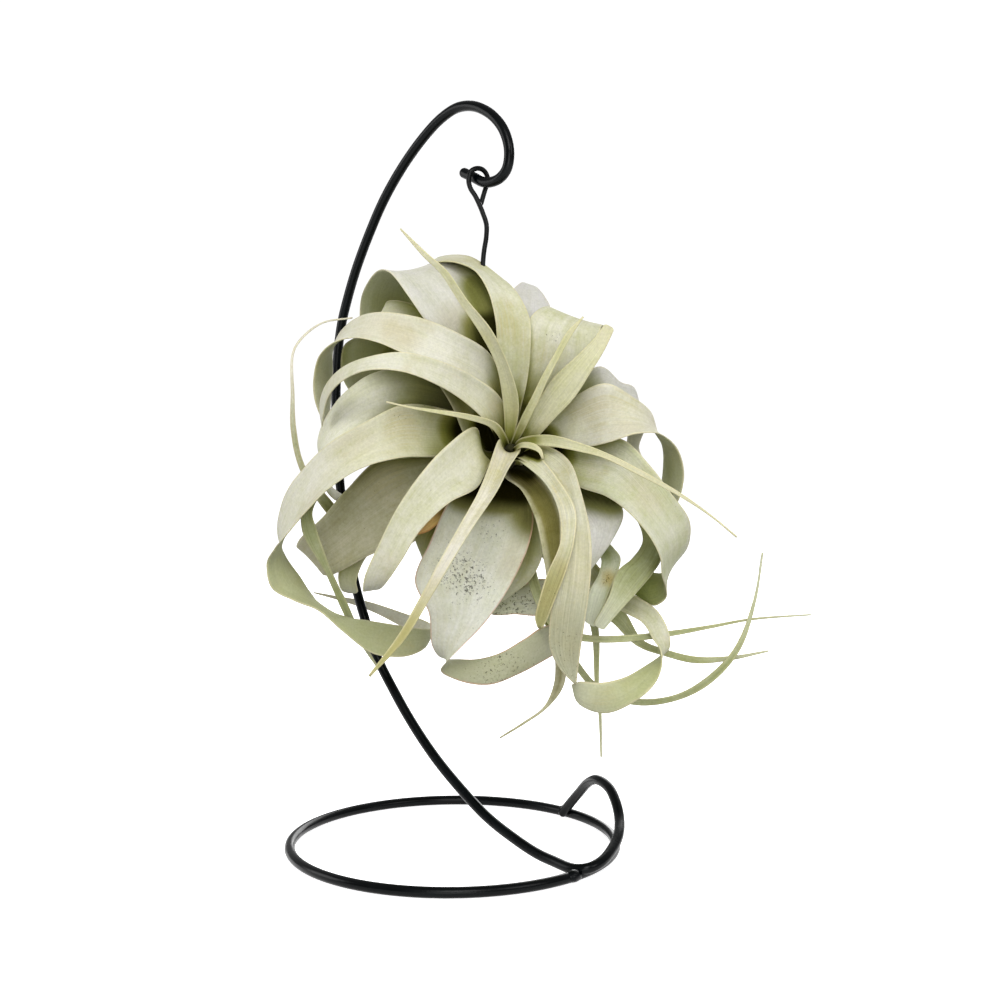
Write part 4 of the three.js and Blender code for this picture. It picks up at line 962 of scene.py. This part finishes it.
def blade_section(left, right, passed, base_cup):
    """The blade's closed outline at each row, the way each row faces, and its width."""
    across = right - left
    outward = unit(across)
    width = np.linalg.norm(across, axis=1)
    facing = unit(np.cross(outward, unit(np.gradient(left, axis=0) + np.gradient(right, axis=0))))
    for _ in range(FACING_PASSES):
        facing[1:-1] = unit(smoothed(facing))
    cup = width * (base_cup + (TIP_CUP - base_cup) * np.minimum(1, passed * CUP_FADE))
    u = np.linspace(0, 1, COLUMNS)[:, None]
    hollow = 1 - (2 * u - 1)**2
    sheet = (left[:, None] * (1 - u) + right[:, None] * u
             - facing[:, None] * cup[:, None, None] * hollow)
    edge_half = THINNEST / 2
    mid_half = np.minimum(MID_THICKNESS, THINNEST + width / THICKENING)[:, None, None] / 2
    half = facing[:, None] * (edge_half + (mid_half - edge_half) * hollow)
    bulge = (outward * edge_half * RIM_BULGE)[:, None]
    section = np.concatenate([
        sheet + half, sheet[:, -1:] + bulge, (sheet - half)[:, ::-1], sheet[:, :1] - bulge], axis=1)
    return section, facing, width


def blade_faces(bands):
    """Quads round the blade, and strips with a triangle at each side to close its two ends."""
    end = [(k, SECTION - 2 - k, SECTION - 3 - k, k + 1) for k in range(COLUMNS - 1)]
    end += [(0, SECTION - 1, SECTION - 2), (COLUMNS - 1, COLUMNS + 1, COLUMNS)]
    return band_faces(bands, SECTION) + end + turned(end, bands * SECTION)


def blade_object(name, stations, tone, origin):
    """One leaf as a closed thin blade, with what the tree and the skins need stored on it."""
    left, right, wanted, passed = blade_edges(stations)
    section, facing, width = blade_section(left, right, passed, DEEP_CUPS.get(name, BASE_CUP))
    rows, outline = len(wanted), section.reshape(-1, 3)
    piece = "blade_" + name
    obj = mesh_object(piece, (outline + origin) * MM, blade_faces(rows - 1))
    side = np.linspace(-1, 1, COLUMNS)
    sides = np.r_[side, 1, side[::-1], -1]
    margin = (1 - np.abs(sides)) * width[:, None] / 2 / WIDE_RIMS.get(name, 1)
    margin[:, sides > 0] += RIM_HIDDEN * (wanted[:, None] < LATE_RIMS.get(name, 0) * wanted[-1])
    grid = [np.tile(sides, rows) * width.max() / 2, np.repeat(wanted, SECTION),
            np.full(rows * SECTION, letter_sum(piece, PATTERN_SHIFTS) * PATTERN_STEP)]
    for key, values in {
        "edge": np.tile(np.abs(sides), rows),
        "margin": margin,
        "under": np.tile(np.r_[np.zeros(COLUMNS), 0.5, np.ones(COLUMNS), 0.5], rows),
        "along": np.repeat(wanted / wanted[-1], SECTION),
        "tone": np.full(rows * SECTION, tone),
        **leaf_marks(name, outline),
    }.items():
        store(obj.data, key, values)
    store(obj.data, "facing", np.repeat(facing, SECTION, axis=0), "FLOAT_VECTOR")
    store(obj.data, "blade", np.stack(grid, axis=1), "FLOAT_VECTOR")
    return obj


def leaf_marks(name, outline):
    """How strong each kind of drawn mark, stain or painted shade, is at each point of the leaf."""
    across, up = as_viewed(outline)
    marks = {kind: np.zeros(len(outline)) for kind in ("soot", "tan", "shade_mark")}
    gone, fade = MARK_FADE
    for kind, x, z, to_x, to_z, size, strength in STAINS_AND_SHADE_MARKS.get(name, []):
        run_x, run_z = to_x - x, to_z - z
        share = ((across - x) * run_x + (up - z) * run_z) / (run_x**2 + run_z**2)
        share = np.clip(share, 0, 1)
        gap = np.hypot(across - x - share * run_x, up - z - share * run_z) / size
        marks[kind] = np.maximum(marks[kind], strength * np.clip((gone - gap) / fade, 0, 1))
    return marks


def ray_directions():
    """Directions spread evenly over a sphere, from its top down."""
    golden = math.pi * (3 - math.sqrt(5))
    rays = []
    for i, z in enumerate(np.linspace(SHELTER_TOP, -SHELTER_TOP, SHELTER_RAYS)):
        level = math.sqrt(1 - z * z)
        rays.append(Vector((level * math.cos(golden * i), level * math.sin(golden * i), z)))
    return rays


def hidden_share(tree, rays, vertex):
    """How much of the light that could reach the point meets a leaf close by."""
    start = vertex.co + vertex.normal * SHELTER_START
    total = hidden = 0.0
    for ray in rays:
        facing = ray.dot(vertex.normal)
        if facing > SHELTER_GRAZE:
            total += facing
            if tree.ray_cast(start, ray, SHELTER_REACH)[0] is not None:
                hidden += facing
    return hidden / max(total, 1e-6)


def shelter_leaves(blades):
    """Stores on each blade how much of the sky over each of its points other leaves hide."""
    corners, faces = [], []
    for obj in blades:
        start = len(corners)
        corners += [v.co[:] for v in obj.data.vertices]
        faces += [[i + start for i in p.vertices] for p in obj.data.polygons]
    tree, rays = BVHTree.FromPolygons(corners, faces), ray_directions()
    for obj in blades:
        vertices = obj.data.vertices
        rows = len(vertices) // SECTION
        tried_rows, tried = ([*range(0, count - 1, SHELTER_STEP), count - 1] for count in (rows, SECTION))
        coarse = np.array([[hidden_share(tree, rays, vertices[row * SECTION + k]) for k in tried]
                           for row in tried_rows])
        for _ in range(SHELTER_PASSES):
            coarse[1:-1] = smoothed(coarse)
        columns = [np.interp(np.arange(rows), tried_rows, column) for column in coarse.T]
        shade = [np.interp(np.arange(SECTION), tried, row) for row in zip(*columns)]
        store(obj.data, "shelter", shade)


# ---- Stand, hanger and stem

def curve_object(name, points, origin, closed=False):
    curve = bpy.data.curves.new(name, "CURVE")
    curve.dimensions = "3D"
    spline = curve.splines.new("POLY")
    spline.points.add(len(points) - 1)
    for target, point in zip(spline.points, points):
        target.co = (*((np.asarray(point) + origin) * MM), 1)
    spline.use_cyclic_u = closed
    return linked(name, curve)


def ring_points():
    angles = np.linspace(0, 2 * math.pi, RING_POINTS, endpoint=False)
    return [(RING_RADIUS * math.cos(t), RING_RADIUS * math.sin(t), STAND_WIRE / 2) for t in angles]


def stand_points():
    curve = [(t * PLANE[0], t * PLANE[1], z) for t, z in CURVE]
    return smooth_curve(ARCH + curve, CURVE_SAMPLES)[:-HOOK_CUT]


def hanger_points():
    """The eye on the hook, the shank, and the turns round the stem."""
    points = [np.array(p, float) for p in HANGER_ROUTE]
    side = unit(np.array([-1.0, 0, 0]) - STEM_AXIS * np.dot([-1, 0, 0], STEM_AXIS))
    top = np.cross(side, STEM_AXIS)
    radius = max(r for r, _ in STEM_PROFILE) + HANGER_WIRE / 2 + HANGER_GAP
    for i in range(HANGER_TURNS * POINTS_PER_TURN + 1):
        turn = i / POINTS_PER_TURN
        angle = turn * 2 * math.pi
        centre = behind_crown(STEM_WRAP_AT + (turn - 0.5) * HANGER_PITCH)
        points.append(centre + side * radius * math.cos(angle) - top * radius * math.sin(angle))
    return smooth_curve(points, HANGER_SAMPLES)


def weld_object(name, centre, halves, turn, origin):
    """A lumpy bead of weld under the paint, as an egg shape turned about the vertical."""
    points = []
    for polar in (math.pi * i / WELD_RINGS for i in range(1, WELD_RINGS)):
        for t in (2 * math.pi * j / WELD_SIDES for j in range(WELD_SIDES)):
            lump = 1 + sum(height * math.sin(m * t + k * polar) for height, m, k in WELD_LUMPS)
            radius = math.sin(polar) * lump
            points.append((radius * math.cos(t), radius * math.sin(t), math.cos(polar)))
    bottom_ring, pole = len(points) - WELD_SIDES, len(points)
    points += [(0, 0, 1), (0, 0, -1)]
    c, s = math.cos(turn), math.sin(turn)
    shape = (np.array(points) * halves) @ np.array([[c, s, 0], [-s, c, 0], [0, 0, 1]]) + centre
    faces = (turned(band_faces(WELD_RINGS - 2, WELD_SIDES)) + fan_faces(pole, 0, WELD_SIDES)
             + turned(fan_faces(pole + 1, bottom_ring, WELD_SIDES)))
    return mesh_object(name, (shape + origin) * MM, faces)


def stem_object(name, origin):
    """The stem as a round body with shallow twisted flutes."""
    side = unit(np.cross(STEM_AXIS, [0, 0, 1.0]))
    top = np.cross(side, STEM_AXIS)
    depth, flutes, twist = STEM_FLUTES
    rings = smooth_curve([(r, at, 0) for r, at in STEM_PROFILE[1:-1]], STEM_SAMPLES)
    points = [behind_crown(STEM_PROFILE[0][1])]
    for radius, at, _ in rings:
        for angle in (2 * math.pi * k / STEM_SIDES for k in range(STEM_SIDES)):
            reach = radius * (1 - depth * (1 + math.sin(flutes * angle + at * twist)) / 2)
            points.append(behind_crown(at) + (side * math.cos(angle) + top * math.sin(angle)) * reach)
    last_ring = len(points) - STEM_SIDES
    points.append(behind_crown(STEM_PROFILE[-1][1]))
    faces = (turned(fan_faces(0, 1, STEM_SIDES)) + band_faces(len(rings) - 1, STEM_SIDES, 1)
             + fan_faces(len(points) - 1, last_ring, STEM_SIDES))
    obj = mesh_object(name, (np.array(points) + origin) * MM, faces)
    obj.data.shade_smooth()
    return obj


def keep_inside(pieces, box):
    """Draws in the few points that a ripple has pushed past the box."""
    low, high = (np.array(corner) for corner in box)
    for piece in pieces:
        mesh = piece.data
        places = np.empty(len(mesh.vertices) * 3)
        mesh.vertices.foreach_get("co", places)
        inside = np.clip(places.reshape(-1, 3), low, high)
        mesh.vertices.foreach_set("co", inside.ravel())
        mesh.update()


# ---- Studio

def light_world(scene):
    """An even white glow, brighter from above, and plain white behind the object."""
    world = bpy.data.worlds.new("studio")
    scene.world = world
    world.use_nodes = True
    n = Nodes(world.node_tree)
    direction = n.add("ShaderNodeTexCoord").outputs["Generated"]
    height = n.add("ShaderNodeSeparateXYZ", {0: direction}).outputs[2]
    seen_by_eye = n.add("ShaderNodeLightPath").outputs["Is Camera Ray"]
    glow = n.step(height, *GLOW_HEIGHTS, *GLOW)
    n.fill(world.node_tree.nodes["Background"], {
        "Strength": n.larger(glow, n.times(seen_by_eye, BACKDROP)), "Color": (1, 1, 1, 1)})


def area_light(name, place, size, power):
    light = bpy.data.lights.new(name, "AREA")
    light.shape = "SQUARE"
    light.size = size
    light.energy = power
    obj = linked(name, light)
    obj.location = place
    obj.rotation_mode = "QUATERNION"
    obj.rotation_quaternion = (Vector(LAMP_TARGET) - Vector(place)).to_track_quat("-Z", "Y")


def build_stage(origin):
    scene = bpy.context.scene
    scene.view_settings.view_transform = "Standard"
    light_world(scene)
    around = ((-1, -1), (1, -1), (1, 1), (-1, 1))
    corners = [(x * FLOOR_REACH, y * FLOOR_REACH, FLOOR_DEPTH) for x, y in around]
    floor = mesh_object("floor", corners, [(0, 1, 2, 3)])
    paper, n, shader = new_material("floor_paper")
    n.fill(shader, FLOOR_SURFACE)
    floor.data.materials.append(paper)
    floor.visible_diffuse = False
    for lamp in LAMPS:
        area_light(*lamp)
    camera = bpy.data.cameras.new("camera")
    for key, value in CAMERA.items():
        setattr(camera, key, value)
    obj = linked("camera", camera)
    obj.location = (EYE + origin) * MM
    obj.rotation_euler = (math.radians(90 - CAMERA_TILT), 0, 0)
    scene.camera = obj


def main():
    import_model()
    cad_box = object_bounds()
    low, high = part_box("base_ring")
    origin = np.array([(low.x + high.x) / 2 / MM, (low.y + high.y) / 2 / MM, low.z / MM])

    blades, wires = blade_tree(), wire_tree()
    skins = {key: leaf_material("leaf_" + key, dict(zip(SKIN_PARTS, values)))
             for key, values in SKINS.items()}
    coats = {key: wire_material(key, *values) for key, values in WIRES.items()}
    pieces = []

    def place(obj, node, slot):
        pieces.append(obj)
        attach(obj, "root")
        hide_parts(node)

    def wire(name, points, diameter, sides, coat, closed=False):
        return bake(curve_object(name, points, origin, closed), wires, radius=diameter / 2 * MM,
                    sides=sides, round_ends=not closed, material=coats[coat])

    flats = {name: blade_object(name, stations, tone, origin)
             for name, (_, tone, _, stations) in LEAVES.items()}
    shelter_leaves(flats.values())
    for name, (skin, _, ripple, _) in LEAVES.items():
        leaf = bake(flats[name], blades, ripple=ripple * MM, ripple_size=RIPPLE_SIZE * MM,
                    seed=letter_sum(name, RIPPLE_SEEDS), material=skins[skin])
        place(leaf, "leaf_" + name, "dried_leaf" if skin == "dried" else "leaf")

    ring = wire("ring", ring_points(), STAND_WIRE, STAND_SIDES, "stand_paint", closed=True)
    place(ring, "base_ring", "stand")
    stand = wire("stand", stand_points(), STAND_WIRE, STAND_SIDES, "stand_paint")
    place(stand, "stand_wire", "stand")
    for weld in WELDS:
        bead = weld_object(*weld, origin)
        bead.data.materials.append(coats["stand_paint"])
        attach(bead, "root")

    hanger = wire("hanger", hanger_points(), HANGER_WIRE, HANGER_SIDES, "hanger_metal")
    place(hanger, "hanger_wire", "hanger")
    stem = stem_object("stem", origin)
    stem.data.materials.append(stem_material())
    place(stem, "plant_stem", "stem")

    keep_inside(pieces, cad_box)
    build_stage(origin)


main()
